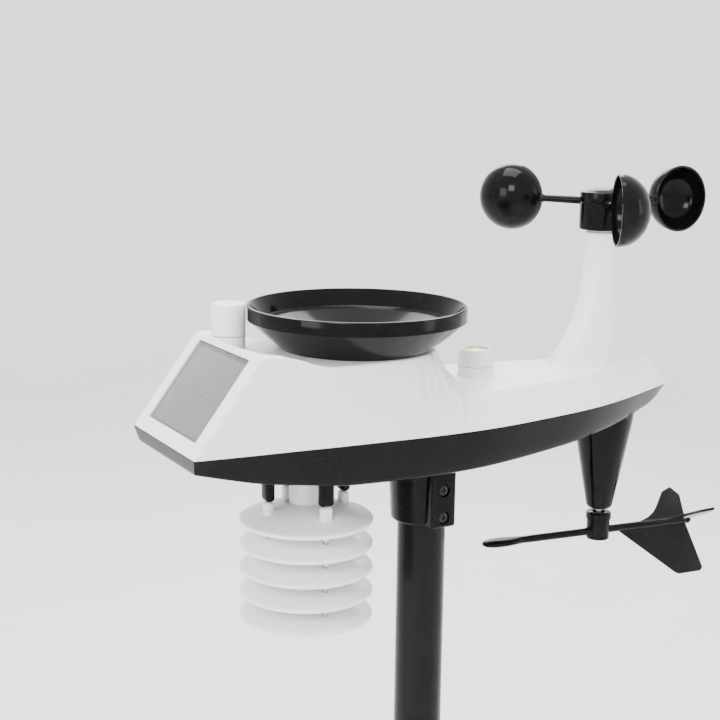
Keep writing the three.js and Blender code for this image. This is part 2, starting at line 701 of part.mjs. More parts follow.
// Turns about Z happen in the head's frame; a wheel is drawn around its own axis.
const armTurns = range(cupCount, 0, 360 * (cupCount - 1) / cupCount);

// The cap and the hub meet at the height of the arms, which the cap closes over.
function cupWheel() {
  const hubTop = cupArmHeight - gap;
  const skirt = towerNeckRadius + 1;
  const hub = turned([[0, hubBottom + hubSkirtDepth], [skirt, hubBottom + hubSkirtDepth], [skirt, hubBottom],
    [hubRadius - 0.6, hubBottom], [hubRadius, hubBottom + 0.6], [hubRadius, hubTop], [0, hubTop]], 24);
  const bore = rod(rotorShaftRadius + gap / 2, 90, rotorShaftTop + gap);
  const shell = range(6, 0, Math.PI / 2).map((a) => [cupRadius * Math.sin(a), -cupDepth * Math.cos(a)]);
  const hollow = range(4, Math.PI / 2, 0).map((a) =>
    [(cupRadius - cupWall) * Math.sin(a), -(cupDepth - cupWall) * Math.cos(a)]);
  const profile = [...shell, [cupRadius, cupRimForward], [cupRadius - cupWall, cupRimForward], ...hollow];
  const start = hubRadius - cupArmRoot;
  const end = cupArmLength - cupRadius + 0.9;
  const armProfile = [[0, start], [cupArmRadius, start], [cupArmTipRadius, end], [0, end]];
  const arms = armTurns.map((angle) => {
    const arm = turned(armProfile, 12).rotateY(Math.PI / 2);
    const cup = turned(profile, 16).rotateX(Math.PI / 2).translate(cupArmLength, 0, 0);
    return join(arm, cup).rotate([0, 0, angle]).translate([0, 0, cupArmHeight]);
  });
  return cut(join(hub, ...arms), bore);
}

function rotorCap() {
  const cap = turned([[0, cupArmHeight], [hubRadius, cupArmHeight], [hubRadius, hubCapEdge - 0.8],
    [hubRadius - 0.8, hubCapEdge], [hubRadius * 0.6, hubCapTop - 0.7], [0, hubCapTop]], 24);
  const notches = armTurns.map((angle) =>
    solid(rodX(cupArmRadius + gap, hubRadius - cupArmRoot - gap, hubRadius + 1, 0, cupArmHeight, 12))
      .rotate([0, 0, angle]));
  return cut(cap, ...notches);
}

const rotorShaft = () => rod(rotorShaftRadius, rotorShaftBottom, rotorShaftTop);
const rotorBearing = (top) =>
  ring(towerBoreRadius - gap / 2, rotorShaftRadius + runningGap, top - bearingHeight, top, towerX, 0, 16);

const vaneShaft = () => rod(vaneShaftRadius, vaneHubBottom + 6, vaneShaftTop);
const vaneBearing = () => ring(vaneBearingRadius, vaneShaftRadius + runningGap, coneBottom + 0.3,
  coneBottom + 0.3 + bearingHeight, vaneX, 0, 16);
const setScrewDepth = 2.6;
const vaneSetScrew = () => rodY(1.4, -vaneHubRadius + 0.4, -vaneHubRadius + 0.4 + setScrewDepth, 0,
  vaneHubBottom + 3.2, 12);

function windVane() {
  const hub = turned([[0, vaneHubBottom], [vaneHubRadius - 0.6, vaneHubBottom],
    [vaneHubRadius, vaneHubBottom + 0.6],
    [vaneHubRadius, vaneHubTop - 4.5], [vaneHubRadius + vaneHubRing, vaneHubTop - 4.2],
    [vaneHubRadius + vaneHubRing, vaneHubTop - 0.6], [vaneHubRadius, vaneHubTop], [0, vaneHubTop]], 24);
  const tail = rodX(vaneRodRadius, 0, vaneRodEnd, 0, vaneRodHeight);
  const ball = new THREE.SphereGeometry(vaneRodRadius + 0.5, 10, 7).translate(vaneRodEnd, 0, vaneRodHeight);
  const pointer = rodX(vaneRodRadius, -pointerTip + pointerLeafLength, 0, 0, vaneRodHeight);
  const leafStart = -pointerTip + pointerLeafLength + 3;
  const w = pointerLeafWidth / 2;
  const leaf = plate([[leafStart, -1.6], [leafStart - 8, -w * 0.8], [leafStart - 15, -w],
    [-pointerTip + 7, -w * 0.72],
    [-pointerTip, -0.8], [-pointerTip, 0.8], [-pointerTip + 7, w * 0.72], [leafStart - 15, w],
    [leafStart - 8, w * 0.8],
    [leafStart, 1.6]], -pointerLeafThickness / 2, pointerLeafThickness / 2).translate(0, 0, vaneRodHeight);
  const fin = (outline, turn) => plateY(outline, -finThickness / 2, finThickness / 2)
    .rotateX(radians(turn)).translate(0, 0, vaneRodHeight);
  const shaftBore = rod(vaneShaftRadius + gap / 2, vaneHubBottom + 6 - gap, 0);
  const screwBore = rodY(1.4 + 0.15, -20, -vaneHubRadius + 0.4 + setScrewDepth + 0.2, 0,
    vaneHubBottom + 3.2, 12);
  return cut(join(hub, tail, ball, pointer, leaf, fin(largeFin, 180), fin(smallFin, 90 - smallFinRise),
    fin(smallFin, smallFinRise - 90)), shaftBore, screwBore);
}

// ---------------------------------------------------------------- radiation shield

const quarterTurns = [0, 90, 180, 270];
const postSpots = quarterTurns.map((angle) =>
  [shieldX + shieldPostRadius * Math.cos(radians(angle)), shieldPostRadius * Math.sin(radians(angle)),
    angle]);
const plateTopAt = (radius) => shieldFirstRimBottom + shieldRimHeight
  + shieldRise * (shieldRimRadius - radius) / (shieldRimRadius - shieldInnerRadius);

function shieldPlate(number) {
  const drop = -(number - 1) * shieldPitch;
  const rimTop = shieldFirstRimBottom + shieldRimHeight;
  const innerTop = rimTop + shieldRise;
  const closedEnd = number === shieldPlates;
  const opening = number === 1 ? shieldTubeRadius - shieldTubeWall : shieldInnerRadius;
  const edge = closedEnd ? 0 : opening;
  const dish = turned([[edge, innerTop - shieldPlateWall], [shieldInnerRadius, innerTop - shieldPlateWall],
    [shieldRimRadius - 1.6, shieldFirstRimBottom],
    [shieldRimRadius, shieldFirstRimBottom + 0.3], [shieldRimRadius - 0.4, rimTop],
    [shieldInnerRadius, innerTop], [edge, innerTop], ...(closedEnd ? [] : [[edge,
    innerTop - shieldPlateWall]])],
  26, shieldX);
  const underside = plateTopAt(shieldPostRadius + 3.4) - shieldPlateWall;
  const spacers = closedEnd ? [] : postSpots.map(([x, y]) =>
    rod(3, plateTopAt(shieldPostRadius - 3) - shieldPitch + gap, underside + 1.5, x, y, 6));
  const studs = number > 1 ? [] : quarterTurns.map((angle) =>
    block([shieldPostRadius - shieldStudDepth / 2, shieldPostRadius + shieldStudDepth / 2],
      [-shieldStudWidth / 2, shieldStudWidth / 2], [plateTopAt(shieldPostRadius + 3) - 1,
      shieldPostBottom - gap])
      .rotateZ(radians(angle)).translate(shieldX, 0, 0));
  const holes = postSpots.map(([x, y]) => rod(shieldScrewRadius + gap, -120, -30, x, y, 6));
  const tubeSocket = number === 1 ? [ring(shieldTubeRadius + 0.1, 1, innerTop - 1, 0, shieldX, 0, 24)] : [];
  const body = cut(join(dish, ...spacers, ...studs), ...holes, ...tubeSocket);
  return body.translate([0, 0, drop]);
}

const shieldLastBottom = shieldFirstRimBottom - (shieldPlates - 1) * shieldPitch;
const screwHeadTop = plateTopAt(shieldPostRadius + 3)
  - (shieldPlates - 1) * shieldPitch - shieldPlateWall - gap - 0.6;
function shieldScrew([x, y]) {
  return turned([[0, screwHeadTop - 1.6], [shieldScrewHead, screwHeadTop - 1.6],
    [shieldScrewHead, screwHeadTop],
    [shieldScrewRadius, screwHeadTop], [shieldScrewRadius, -25], [0, -25]], 6, x, y);
}

const shieldTubeTop = -depthAt(shieldX) - gap;
const shieldTubeBottom = shieldFirstRimBottom + shieldRimHeight + shieldRise - 1 + gap;
const shieldTube = () => ring(shieldTubeRadius, shieldTubeRadius - shieldTubeWall, shieldTubeBottom,
  shieldTubeTop - 0.6,
  shieldX);
const sensorBoard = () => block([shieldX - 5.5, shieldX + 5.5], [-0.8, 0.8], [shieldLastBottom + 16, -16]);

// ---------------------------------------------------------------- mast fixings and electronics

function socketBolt(height) {
  const seat = -padReach + boltRecessDepth;
  return join(rodY(boltHeadRadius, seat - gap - boltHeadHeight, seat - gap, 0, height, 20),
    rodY(boltRadius, seat - gap - 0.2, padReach - 0.6, 0, height, 20));
}

function socketNut(height) {
  const back = padReach - nutHeight - 1 + gap;
  return cut(rodY(nutAcross / Math.sqrt(3), back, back + nutHeight, 0, height, 6),
    rodY(boltRadius + 0.2, 0, 40, 0, height, 20));
}

const batteryAxis = -depthAt(batteryMiddleX) + 2 * wall + gap + batteryRadius;
const boardHeight = batteryAxis + batteryRadius + boardClearance;

function circuitBoard() {
  const board = block([boardStart, boardStart + boardLength], [-boardWidth / 2, boardWidth / 2],
    [boardHeight, boardHeight + boardThickness]);
  const top = boardHeight + boardThickness - 0.1;
  const chips = [[[30, 42], [-6, 6], 2], [[52, 60], [-14, -4], 2.4], [[70, 84], [4, 12],
    3]].map(([x, y, tall]) =>
    block(x, y, [top, top + tall]));
  const button = block([buttonX - 4, buttonX + 4], [buttonY - 4, buttonY + 4],
    [buttonContact, boardHeight + 0.1]);
  return join(board, ...chips, button);
}

const buttonContact = boardHeight - 5;
const buttonOutside = -depthAt(buttonX);

function resetButton() {
  return turned([[0, buttonOutside - 0.2], [buttonRadius, buttonOutside - 0.2],
    [buttonRadius, buttonOutside + wall + gap],
    [buttonFlange, buttonOutside + wall + gap], [buttonFlange, buttonOutside + wall + gap + 1],
    [buttonRadius, buttonOutside + wall + gap + 1], [buttonRadius, buttonContact - buttonTravel - gap],
    [0, buttonContact - buttonTravel - gap]], 24, buttonX, buttonY);
}

function battery(number) {
  const x = batteryMiddleX + (number - (batteryCount + 1) / 2) * batteryPitch;
  const up = number % 2 ? 1 : -1;
  const half = batteryLength / 2;
  const body = rodY(batteryRadius, -half, half, x, batteryAxis, 16);
  const tip = up > 0 ? rodY(batteryTipRadius, half - 0.5, half + batteryTipLength, x, batteryAxis)
    : rodY(batteryTipRadius, -half - batteryTipLength, -half + 0.5, x, batteryAxis);
  return join(body, tip);
}

function batteryDoor() {
  const skin = common(cut(trayShape(0), trayShape(wall)), doorPrism(0));
  return cut(skin, rod(doorScrewRadius + 0.2, -60, 0, doorScrewSpot, 0, 16));
}

function doorScrew() {
  const head = -depthAt(doorScrewSpot) - 0.4;
  return turned([[0, head - 1.5], [doorScrewHead, head - 1.5], [doorScrewHead, head],
    [doorScrewRadius, head],
    [doorScrewRadius, -11], [0, -11]], 16, doorScrewSpot);
}

// ---------------------------------------------------------------- mast

const spigotRadius = mastRadius - mastWall - gap;
const screwHeight = mastJointHeight + 20;
const hubScrewHeight = hubHeight - 14.5;

function mastUpper() {
  return cut(ring(mastRadius, mastRadius - mastWall, mastJointHeight, seamHeight + mastTop, 0, 0, 24),
    ...boltHeights.map((z) => rodY(boltRadius + 0.3, -40, 40, 0, seamHeight + z)),
    rodY(1.6, -40, 0, 0, screwHeight));
}

function mastLower() {
  const bottom = mastFootFloor + gap;
  const profile = [[mastRadius - mastWall, bottom], [mastRadius, bottom],
    [mastRadius, mastJointHeight - gap],
    [spigotRadius, mastJointHeight - gap], [spigotRadius, mastJointHeight + mastSpigot],
    [spigotRadius - mastWall, mastJointHeight + mastSpigot], [spigotRadius - mastWall, mastJointHeight - 4],
    [mastRadius - mastWall, mastJointHeight - 8], [mastRadius - mastWall, bottom]];
  return cut(turned(profile, 24), rodY(1.6, -40, 0, 0, screwHeight),
    rodY(1.9, -40, 0, 0, hubScrewHeight));
}

const mastScrew = () => join(rodY(2.8, -mastRadius - gap - 1.8, -mastRadius - gap, 0, screwHeight, 16),
  rodY(1.35, -mastRadius - gap - 0.2, -mastRadius + 6, 0, screwHeight, 12));

const mastFoot = () => turned([[0, 0], [mastRadius + mastFootWall, 0],
  [mastRadius + mastFootWall, mastFootHeight - 1],
  [mastRadius + mastFootWall - 1, mastFootHeight], [mastRadius + gap, mastFootHeight],
  [mastRadius + gap, mastFootFloor],
  [0, mastFootFloor]], 24);

// ---------------------------------------------------------------- tripod

const legAngles = range(legCount, firstLeg, firstLeg + 360 * (legCount - 1) / legCount);
const legEndHeight = footFloor + legRadius;
const legSpread = Math.atan2(footReach - hingeReach, hubHeight - legEndHeight);
const legLength = Math.hypot(footReach - hingeReach, hubHeight - legEndHeight);
const knuckleGap = knuckleWidth / 2 + gap;

function tripodHub() {
  const collar = ring(hubCollarRadius, mastRadius + gap, hubHeight - 20, hubHeight - 20 + hubCollarHeight,
    0, 0, 24);
  const lugs = legAngles.flatMap((angle) => [-1, 1].map((side) => {
    const near = side * knuckleGap;
    const far = side * (knuckleGap + lugThickness);
    return join(block([mastRadius + 3, hingeReach], [Math.min(near, far), Math.max(near, far)],
      [hubHeight - 9, hubHeight + 9]), rodY(9, Math.min(near, far), Math.max(near, far),
      hingeReach, hubHeight, 16))
      .rotate([0, 0, angle]);
  }));
  const pinHoles = legAngles.map((angle) => solid(rodY(hingePinRadius + gap / 2, -30, 30, hingeReach,
    hubHeight, 12))
    .rotate([0, 0, angle]));
  const bore = rod(mastRadius + gap, 0, 600, 0, 0, 24);
  return cut(join(collar, ...lugs), bore, ...pinHoles, rodY(2.2, -40, 0, 0, hubScrewHeight));
}

const hubScrew = () => join(rodY(3.6, -hubCollarRadius - gap - 3, -hubCollarRadius - gap, 0, hubScrewHeight,
  14),
  rodY(1.7, -hubCollarRadius - gap - 0.2, -mastRadius + 4, 0, hubScrewHeight, 10));

// A leg is drawn hanging from its hinge pin at the origin, then swung out until its heel
// meets the collar.
function leg() {
  const knuckle = rodY(knuckleRadius, -knuckleWidth / 2, knuckleWidth / 2, 0, 0, 20);
  const heel = (hingeReach - hubCollarRadius - gap - knuckleRadius * Math.cos(legSpread))
    / Math.sin(legSpread);
  const shank = block([-knuckleRadius, knuckleRadius], [-knuckleWidth / 2, knuckleWidth / 2], [-26, heel]);
  const tube = rod(legRadius, -legLength, -20, 0, 0, legSides);
  const inside = rod(legRadius - legWall, -legLength - 1, -34, 0, 0, legSides);
  const pinHole = rodY(hingePinRadius + runningGap, -20, 20, 0, 0, 12);
  return cut(join(knuckle, shank, tube), inside, pinHole);
}

function legFoot() {
  const cup = rod(legRadius + gap + footWall, -legLength - 20, -legLength + footHeight, 0, 0, legSides);
  const hollow = rod(legRadius + gap, -legLength - gap, -legLength + footHeight + 1, 0, 0, legSides);
  return cut(cup, hollow);
}

const legPin = () => rodY(hingePinRadius, -knuckleGap - lugThickness - 1.5, knuckleGap + lugThickness + 1.5,
  0, 0, 12);

// ---------------------------------------------------------------- assembly

add(head, 'upper_housing', upperHousing(), whiteShell);
add(head, 'lower_housing', lowerHousing(), blackShell);
add(head, 'solar_panel', solarPanel(), solarCell);
add(head, 'antenna_cover', antennaCover(), whiteShell);
add(head, 'antenna_whip', antennaWhip(), steel);
add(head, 'level_housing', levelHousing(), whiteShell);
add(head, 'level_vial', levelVial(), vialGreen);
add(head, 'rain_funnel', funnel(), blackShell);

const pivot = new THREE.Group();
pivot.position.set(funnelX, 0, bucketPivotHeight);
head.add(pivot);
add(pivot, 'bucket_cradle', bucketCradle(), blackPlastic);
add(pivot, 'bucket_pin', bucketPin(), steel);
add(pivot, 'reed_switch', reedSwitch(), glass);
const bucketGroup = new THREE.Group();
bucketGroup.rotation.y = radians(bucketTilt);
pivot.add(bucketGroup);
add(bucketGroup, 'tipping_bucket', tippingBucket(), blackPlastic);

const rotor = new THREE.Group();
rotor.position.x = towerX;
rotor.rotation.z = radians(cupAngle);
head.add(rotor);
add(rotor, 'cup_wheel', cupWheel(), blackShell);
add(rotor, 'rotor_cap', rotorCap(), blackShell);
add(rotor, 'rotor_shaft', rotorShaft(), steel);
add(head, 'rotor_bearing_upper', rotorBearing(towerTop - 1), brass);
add(head, 'rotor_bearing_lower', rotorBearing(lowerRotorBearingTop), brass);

const vane = new THREE.Group();
vane.position.x = vaneX;
vane.rotation.z = radians(vaneYaw);
head.add(vane);
add(vane, 'wind_vane', windVane(), blackShell);
add(vane, 'vane_shaft', vaneShaft(), steel);
add(vane, 'vane_set_screw', vaneSetScrew(), steel);
add(head, 'vane_bearing', vaneBearing(), brass);

for (let number = 1; number <= shieldPlates; number += 1) {
  add(head, `shield_plate_${number}`, shieldPlate(number), whiteShell);
}
add(head, 'shield_tube', shieldTube(), whiteShell);
postSpots.forEach((spot, i) => add(head, `shield_screw_${i + 1}`, shieldScrew(spot), steel));
add(head, 'sensor_board', sensorBoard(), boardGreen);

boltHeights.forEach((height, i) => {
  add(head, `socket_bolt_${i + 1}`, socketBolt(height), steel);
  add(head, `socket_nut_${i + 1}`, socketNut(height), steel);
});
add(head, 'circuit_board', circuitBoard(), boardGreen);
add(head, 'reset_button', resetButton(), rubber);
for (let number = 1; number <= batteryCount; number += 1) {
  add(head, `battery_${number}`, battery(number), batteryBlue);
}
add(head, 'battery_door', batteryDoor(), blackShell);
add(head, 'battery_door_screw', doorScrew(), steel);

add(parts, 'mast_upper', mastUpper(), blackTube);
add(parts, 'mast_lower', mastLower(), blackTube);
add(parts, 'mast_screw', mastScrew(), steel);
add(parts, 'mast_foot', mastFoot(), rubber);
add(parts, 'tripod_hub', tripodHub(), blackPlastic);
add(parts, 'hub_screw', hubScrew(), steel);

legAngles.forEach((angle, i) => {
  const side = new THREE.Group();
  side.rotation.z = radians(angle);
  const hinge = new THREE.Group();
  hinge.position.set(hingeReach, 0, hubHeight);
  side.add(hinge);
  const swing = new THREE.Group();
  swing.rotation.y = -legSpread;
  hinge.add(swing);
  parts.add(side);
  add(swing, `leg_${i + 1}`, leg(), blackTube);
  const floor = block([-400, 400], [-400, 400], [-hubHeight - 100, -hubHeight]);
  const swung = solid(legFoot()).rotate([0, THREE.MathUtils.radToDeg(-legSpread), 0]);
  add(hinge, `leg_foot_${i + 1}`, cut(swung, floor), rubber);
  add(hinge, `leg_pin_${i + 1}`, legPin(), steel);
});

export default parts;
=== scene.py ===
"""Looks of the tripod weather station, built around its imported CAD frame; millimetres until meshed."""
import math

import bmesh
import bpy
from mathutils import Matrix, Vector


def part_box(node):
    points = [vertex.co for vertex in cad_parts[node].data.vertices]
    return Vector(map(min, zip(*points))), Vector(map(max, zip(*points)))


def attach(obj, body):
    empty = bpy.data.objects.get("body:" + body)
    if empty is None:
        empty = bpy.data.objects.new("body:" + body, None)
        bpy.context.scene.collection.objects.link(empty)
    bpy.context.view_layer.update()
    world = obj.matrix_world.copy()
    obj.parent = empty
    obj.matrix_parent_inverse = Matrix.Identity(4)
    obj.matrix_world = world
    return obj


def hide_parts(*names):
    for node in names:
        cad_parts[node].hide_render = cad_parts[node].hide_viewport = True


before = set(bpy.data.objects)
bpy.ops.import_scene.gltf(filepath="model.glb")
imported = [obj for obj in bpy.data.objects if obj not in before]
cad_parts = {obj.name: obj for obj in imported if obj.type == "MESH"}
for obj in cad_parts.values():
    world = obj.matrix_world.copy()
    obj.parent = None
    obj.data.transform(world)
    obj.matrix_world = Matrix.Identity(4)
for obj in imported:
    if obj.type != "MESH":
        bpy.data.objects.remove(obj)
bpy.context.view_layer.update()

MM = 0.001


def middle(node):
    """Middle of a CAD node's box, in millimetres."""
    low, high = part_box(node)
    return (low + high) / 2 / MM


def low_of(node):
    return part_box(node)[0] / MM


def high_of(node):
    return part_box(node)[1] / MM


# ---------------------------------------------------------------- sizes taken from the frame

SEAM = high_of("lower_housing").z
STERN = low_of("upper_housing").x
BOW = high_of("upper_housing").x
FUNNEL_X = middle("rain_funnel").x
FUNNEL_R = (high_of("rain_funnel").x - low_of("rain_funnel").x) / 2
FUNNEL_TOP = high_of("rain_funnel").z - SEAM
TOWER_X = middle("rotor_bearing_upper").x
TOWER_TOP = high_of("upper_housing").z - SEAM
VANE_X = middle("vane_bearing").x
SHIELD_X = middle("shield_tube").x
LEVEL_X = middle("level_housing").x
LEVEL_TOP = high_of("level_housing").z - SEAM
MAST_R = high_of("mast_upper").x
MAST_JOINT = low_of("mast_upper").z
HUB_LOW = low_of("tripod_hub").z
HUB_HIGH = high_of("tripod_hub").z


# ---------------------------------------------------------------- sizes of the moulded shapes

WALL = 2.4
GAP = 0.3
SEAM_OUTLINE = [(-159.5, 42.5), (-130.5, 45.4), (-103.4, 47.6), (-81, 49.6), (-56, 51.4), (-23, 53.4),
                (16, 52.6), (63, 45.4), (96, 38.1), (129, 26.6), (158, 13.6), (173, 6.8), (178.8, 3.1),
                (180.2, 0)]
TRAY_DEPTH = [(-159.5, 9), (-140, 14), (-122, 18), (-98, 21.3), (-74, 24), (-32, 24.6), (10, 24),
              (73, 21.2), (122, 17.6), (166, 12.4), (180.2, 7)]
LOW_DECK = 17.4
HIGH_DECK = 49.2
STERN_LEAN = 0.755
SIDE_LEAN = 0.72
EDGE_ROUND = 2.4
HIGH_LEAN = [(-159.5, 0.07), (-122, 0.08), (-44.7, 0.19), (-12, 0.5), (16, 0.72)]
BELOW_SEAM = 5             # housing drawn this far under the seam, then cut off crisply
SEAM_CHAMFER = 0.05
VOXEL = 0.9
SMOOTHING = 5
SEAT_CONE = [(66, -1), (60.5, 17.4), (53.5, 25), (50.2, 28)]
SEAT_TOP_R = 43.6
SEAT_FIN_ANGLE = -52       # degrees around the funnel from +X
SEAT_FIN_THICK = 1.3
DISH_FLOOR = 41.2
DISH = [(57, 41.2), (60, 41.5), (64, 42.8), (69, 45.4), (73, 47.0), (76, 48.1), (80, 49.6), (84, 53.2)]
SKIRT_R = 38.8
LUG_REACH = SKIRT_R + 1.6
FUNNEL_SEAT_R = 42.8
FUNNEL_BAND = 7.7
FUNNEL_WALL = 2
FUNNEL_BOWL_R = 54.5
FUNNEL_BOWL_EDGE = 55
TOWER_RINGS = [(10, 43, 19), (17.4, 38, 16.4), (20, 34.5, 15.5), (27.5, 28.6, 14.1), (34, 24, 13.2),
               (43, 18.6, 12.3), (51, 14.9, 11.7), (60, 12.2, 11), (72, 10.7, 10.4), (84, 9.8, 9.8),
               (98.2, 9.6, 9.6)]
TOWER_BORE = 5.6
TOWER_NECK = 7.9
PANEL_LIFT = 8.6
PANEL_LENGTH = 49
PANEL_WIDTH = 64
PANEL_RECESS = 0.9
PANEL_THICK = 1.6
ANTENNA_X = -112
ANTENNA_Y = 22
ANTENNA_R = 9.3
ANTENNA_TOP = 67
LEVEL_BOSS_R = 10.4
LEVEL_BASE_TOP = 23.7
LEVEL_SKIRT_R = 10.9
LEVEL_TOP_R = 9.4
VIAL_R = 7.2
CUP_R = 20.4
CUP_DEPTH = 17.6
CUP_WALL = 1.4
CUP_REACH = 60
CUP_HEIGHT = 115.8
CUP_RIM = 1.2
ARM_R = 2.4
CUP_ANGLE = -0.5           # degrees, first arm from +X
ROTOR_R = 13.6
ROTOR_BOTTOM = 99.3
ROTOR_SPLIT = 115.8
ROTOR_EDGE = 121.8
ROTOR_TOP = 124.4
VANE_YAW = -7              # degrees
VANE_HUB_R = 7.2
VANE_HUB_TOP = -78.9
VANE_HUB_BOTTOM = -96.4
VANE_ROD_Z = -91.5
VANE_ROD_R = 2.3
VANE_TAIL = 67
POINTER_TIP = 81.4
LARGE_FIN = [(13, 0.6), (60.5, 35.8), (63.5, 37), (80, 36.8), (81.6, 34.4), (65, 0.6)]
SMALL_FIN = [(27, 0.6), (40, 5.2), (46, 8.8), (51, 13.5), (61.5, 25), (69.8, 28.4), (73, 20.5), (66, 0.6)]
FIN_THICK = 1.6
SMALL_FIN_RISE = 30        # degrees above level
CONE_TOP_R = 17.8
CONE_BOTTOM_R = 7.9
CONE_BOTTOM = -75.7
PAD_REACH = 24
SOCKET_BOTTOM = -63.4
BOLT_HEIGHTS = (-41.5, -57.5)
DOOR_LIP = 4
PLATES = 5
PLATE_PITCH = 13.7
PLATE_R = 37.2
PLATE_RIM = 2.5
PLATE_LOW = -54.1
PLATE_RISE = 8.4
PLATE_INNER = 12
PLATE_WALL = 2
POST_R = 23.3
TUBE_R = 9.5
HUB_PIN_Z = 340
HINGE_REACH = 34
FOOT_REACH = 270
LEG_R = 8
FIRST_LEG = 60             # degrees from +X
FOOT_CUP = 26
FOOT_FLOOR = 4
KNUCKLE_GAP = 4.8
FUNNEL_SPOUT = 31.5
CAP_WALL = 1.6
TUBE_WALL = 1.2
COLLAR = 7
LUG_R = 9
LUG_THICK = 4
NOISE_LOW = 0.3            # ends of the noise's useful part
NOISE_HIGH = 0.7
COAT_ROUGHNESS = 0.08


# ---------------------------------------------------------------- mesh helpers

def along(points, x):
    """Smooth value at x of a list of (x, value) points."""
    if x <= points[0][0]:
        return points[0][1]
    if x >= points[-1][0]:
        return points[-1][1]
    i = next(k for k, point in enumerate(points) if point[0] > x) - 1

    def slope(j):
        before, after = points[max(j - 1, 0)], points[min(j + 1, len(points) - 1)]
        return (after[1] - before[1]) / (after[0] - before[0])

    span = points[i + 1][0] - points[i][0]
    t = (x - points[i][0]) / span
    return ((2 * t**3 - 3 * t**2 + 1) * points[i][1] + (t**3 - 2 * t**2 + t) * span * slope(i)
            + (3 * t**2 - 2 * t**3) * points[i + 1][1] + (t**3 - t**2) * span * slope(i + 1))


def at(x, y, z):
    """A shift given in millimetres."""
    return Matrix.Translation(Vector((x, y, z)) * MM)


def spun(axis, degrees):
    return Matrix.Rotation(math.radians(degrees), 4, axis)


def spread(count, start, end):
    return [start + (end - start) * i / (count - 1) for i in range(count)]


def mesh_object(name, verts, faces, lift=SEAM):
    """An object from points in millimetres, lifted from the head's frame to the floor's."""
    mesh = bpy.data.meshes.new(name)
    mesh.from_pydata([(x * MM, y * MM, (z + lift) * MM) for x, y, z in verts], [], faces)
    bm = bmesh.new()
    bm.from_mesh(mesh)
    bmesh.ops.remove_doubles(bm, verts=bm.verts, dist=2e-6)
    bmesh.ops.dissolve_degenerate(bm, edges=bm.edges, dist=1e-7)
    bmesh.ops.recalc_face_normals(bm, faces=bm.faces)
    if bm.calc_volume(signed=True) < 0:
        bmesh.ops.reverse_faces(bm, faces=bm.faces)
    bm.to_mesh(mesh)
    bm.free()
    piece = bpy.data.objects.new(name, mesh)
    bpy.context.scene.collection.objects.link(piece)
    return piece


def around(count):
    """Angles evenly spaced about a full turn."""
    return [2 * math.pi * i / count for i in range(count)]


def near(x, z, *offsets):
    """Points of a profile, given as offsets from one point."""
    return [(x + dx, z + dz) for dx, dz in offsets]


def turned(name, profile, sides=96, x=0.0, y=0.0, lift=SEAM, radius_at=None):
    """(radius, height) profile turned about Z. It starts and ends on the axis, or closes on itself."""
    count = len(profile)
    loop = profile[0][0] > 1e-6
    verts, faces = [], []
    for angle in around(sides):
        for k, (radius, height) in enumerate(profile):
            r = radius_at(angle, k, radius) if radius_at else radius
            verts.append((x + r * math.cos(angle), y + r * math.sin(angle), height))
    for i in range(sides):
        a, b = i * count, (i + 1) % sides * count
        for k in range(count if loop else count - 1):
            m = (k + 1) % count
            faces.append((a + k, b + k, b + m, a + m))
    return mesh_object(name, verts, faces, lift)


def rod(name, radius, bottom, top, x=0.0, y=0.0, sides=48, lift=SEAM, edge=0.0):
    """Upright round bar with its two edges taken off by edge."""
    if edge:
        profile = near(radius, bottom, (-edge, 0), (0, edge)) + near(radius, top, (0, -edge), (-edge, 0))
    else:
        profile = [(radius, bottom), (radius, top)]
    return turned(name, [(0, bottom)] + profile + [(0, top)], sides, x, y, lift)


def loft(name, half_rings, lift=SEAM):
    """Rings of points on the +Y side, mirrored to the -Y side and skinned into a closed body."""
    rings = [list(half) + [(x, -y, z) for x, y, z in reversed(half)] for half in half_rings]
    count = len(rings[0])
    verts = [point for ring in rings for point in ring]
    faces = []
    for k in range(len(rings) - 1):
        for j in range(count):
            a, b = k * count + j, k * count + (j + 1) % count
            faces.append((a, b, b + count, a + count))
    last = (len(rings) - 1) * count
    for j in range(count // 2 - 1):
        mirror = count - 1 - j
        faces.append((j, mirror, mirror - 1, j + 1))
        faces.append((last + j, last + j + 1, last + mirror - 1, last + mirror))
    return mesh_object(name, verts, faces, lift)


def block(name, low, high, lift=SEAM):
    (x0, y0, z0), (x1, y1, z1) = low, high
    verts = [(x, y, z) for z in (z0, z1) for y in (y0, y1) for x in (x0, x1)]
    faces = [(0, 2, 3, 1), (4, 5, 7, 6), (0, 1, 5, 4), (2, 6, 7, 3), (0, 4, 6, 2), (1, 3, 7, 5)]
    return mesh_object(name, verts, faces, lift)


def prism(name, lower, upper, lift):
    """Two matching outlines skinned into a closed body."""
    n = len(lower)
    faces = [tuple(range(n)), tuple(range(n, 2 * n))]
    faces += [(i, (i + 1) % n, n + (i + 1) % n, n + i) for i in range(n)]
    return mesh_object(name, lower + upper, faces, lift)


def plate(name, outline, bottom, top, lift=SEAM):
    """An outline of (x, y) points, raised from bottom to top."""
    return prism(name, [(x, y, bottom) for x, y in outline], [(x, y, top) for x, y in outline], lift)


def settle(piece):
    """Applies a piece's modifiers to its mesh."""
    bpy.context.view_layer.update()
    graph = bpy.context.evaluated_depsgraph_get()
    mesh = bpy.data.meshes.new_from_object(piece.evaluated_get(graph))
    old = piece.data
    piece.modifiers.clear()
    piece.data = mesh
    bpy.data.meshes.remove(old)
    return piece


def combine(piece, others, operation="UNION"):
    """Joins or cuts closed bodies, one after the other, and removes them."""
    for other in others:
        step = piece.modifiers.new("step", "BOOLEAN")
        step.operation = operation
        step.solver = "MANIFOLD"
        step.object = other
    settle(piece)
    for other in others:
        bpy.data.objects.remove(other)
    return piece


def carve(piece, cutters):
    return combine(piece, cutters, "DIFFERENCE")


def moved(piece, matrix):
    """Turns or shifts a piece's points; the matrix works in metres about the row's origin."""
    piece.data.transform(matrix)
    return piece


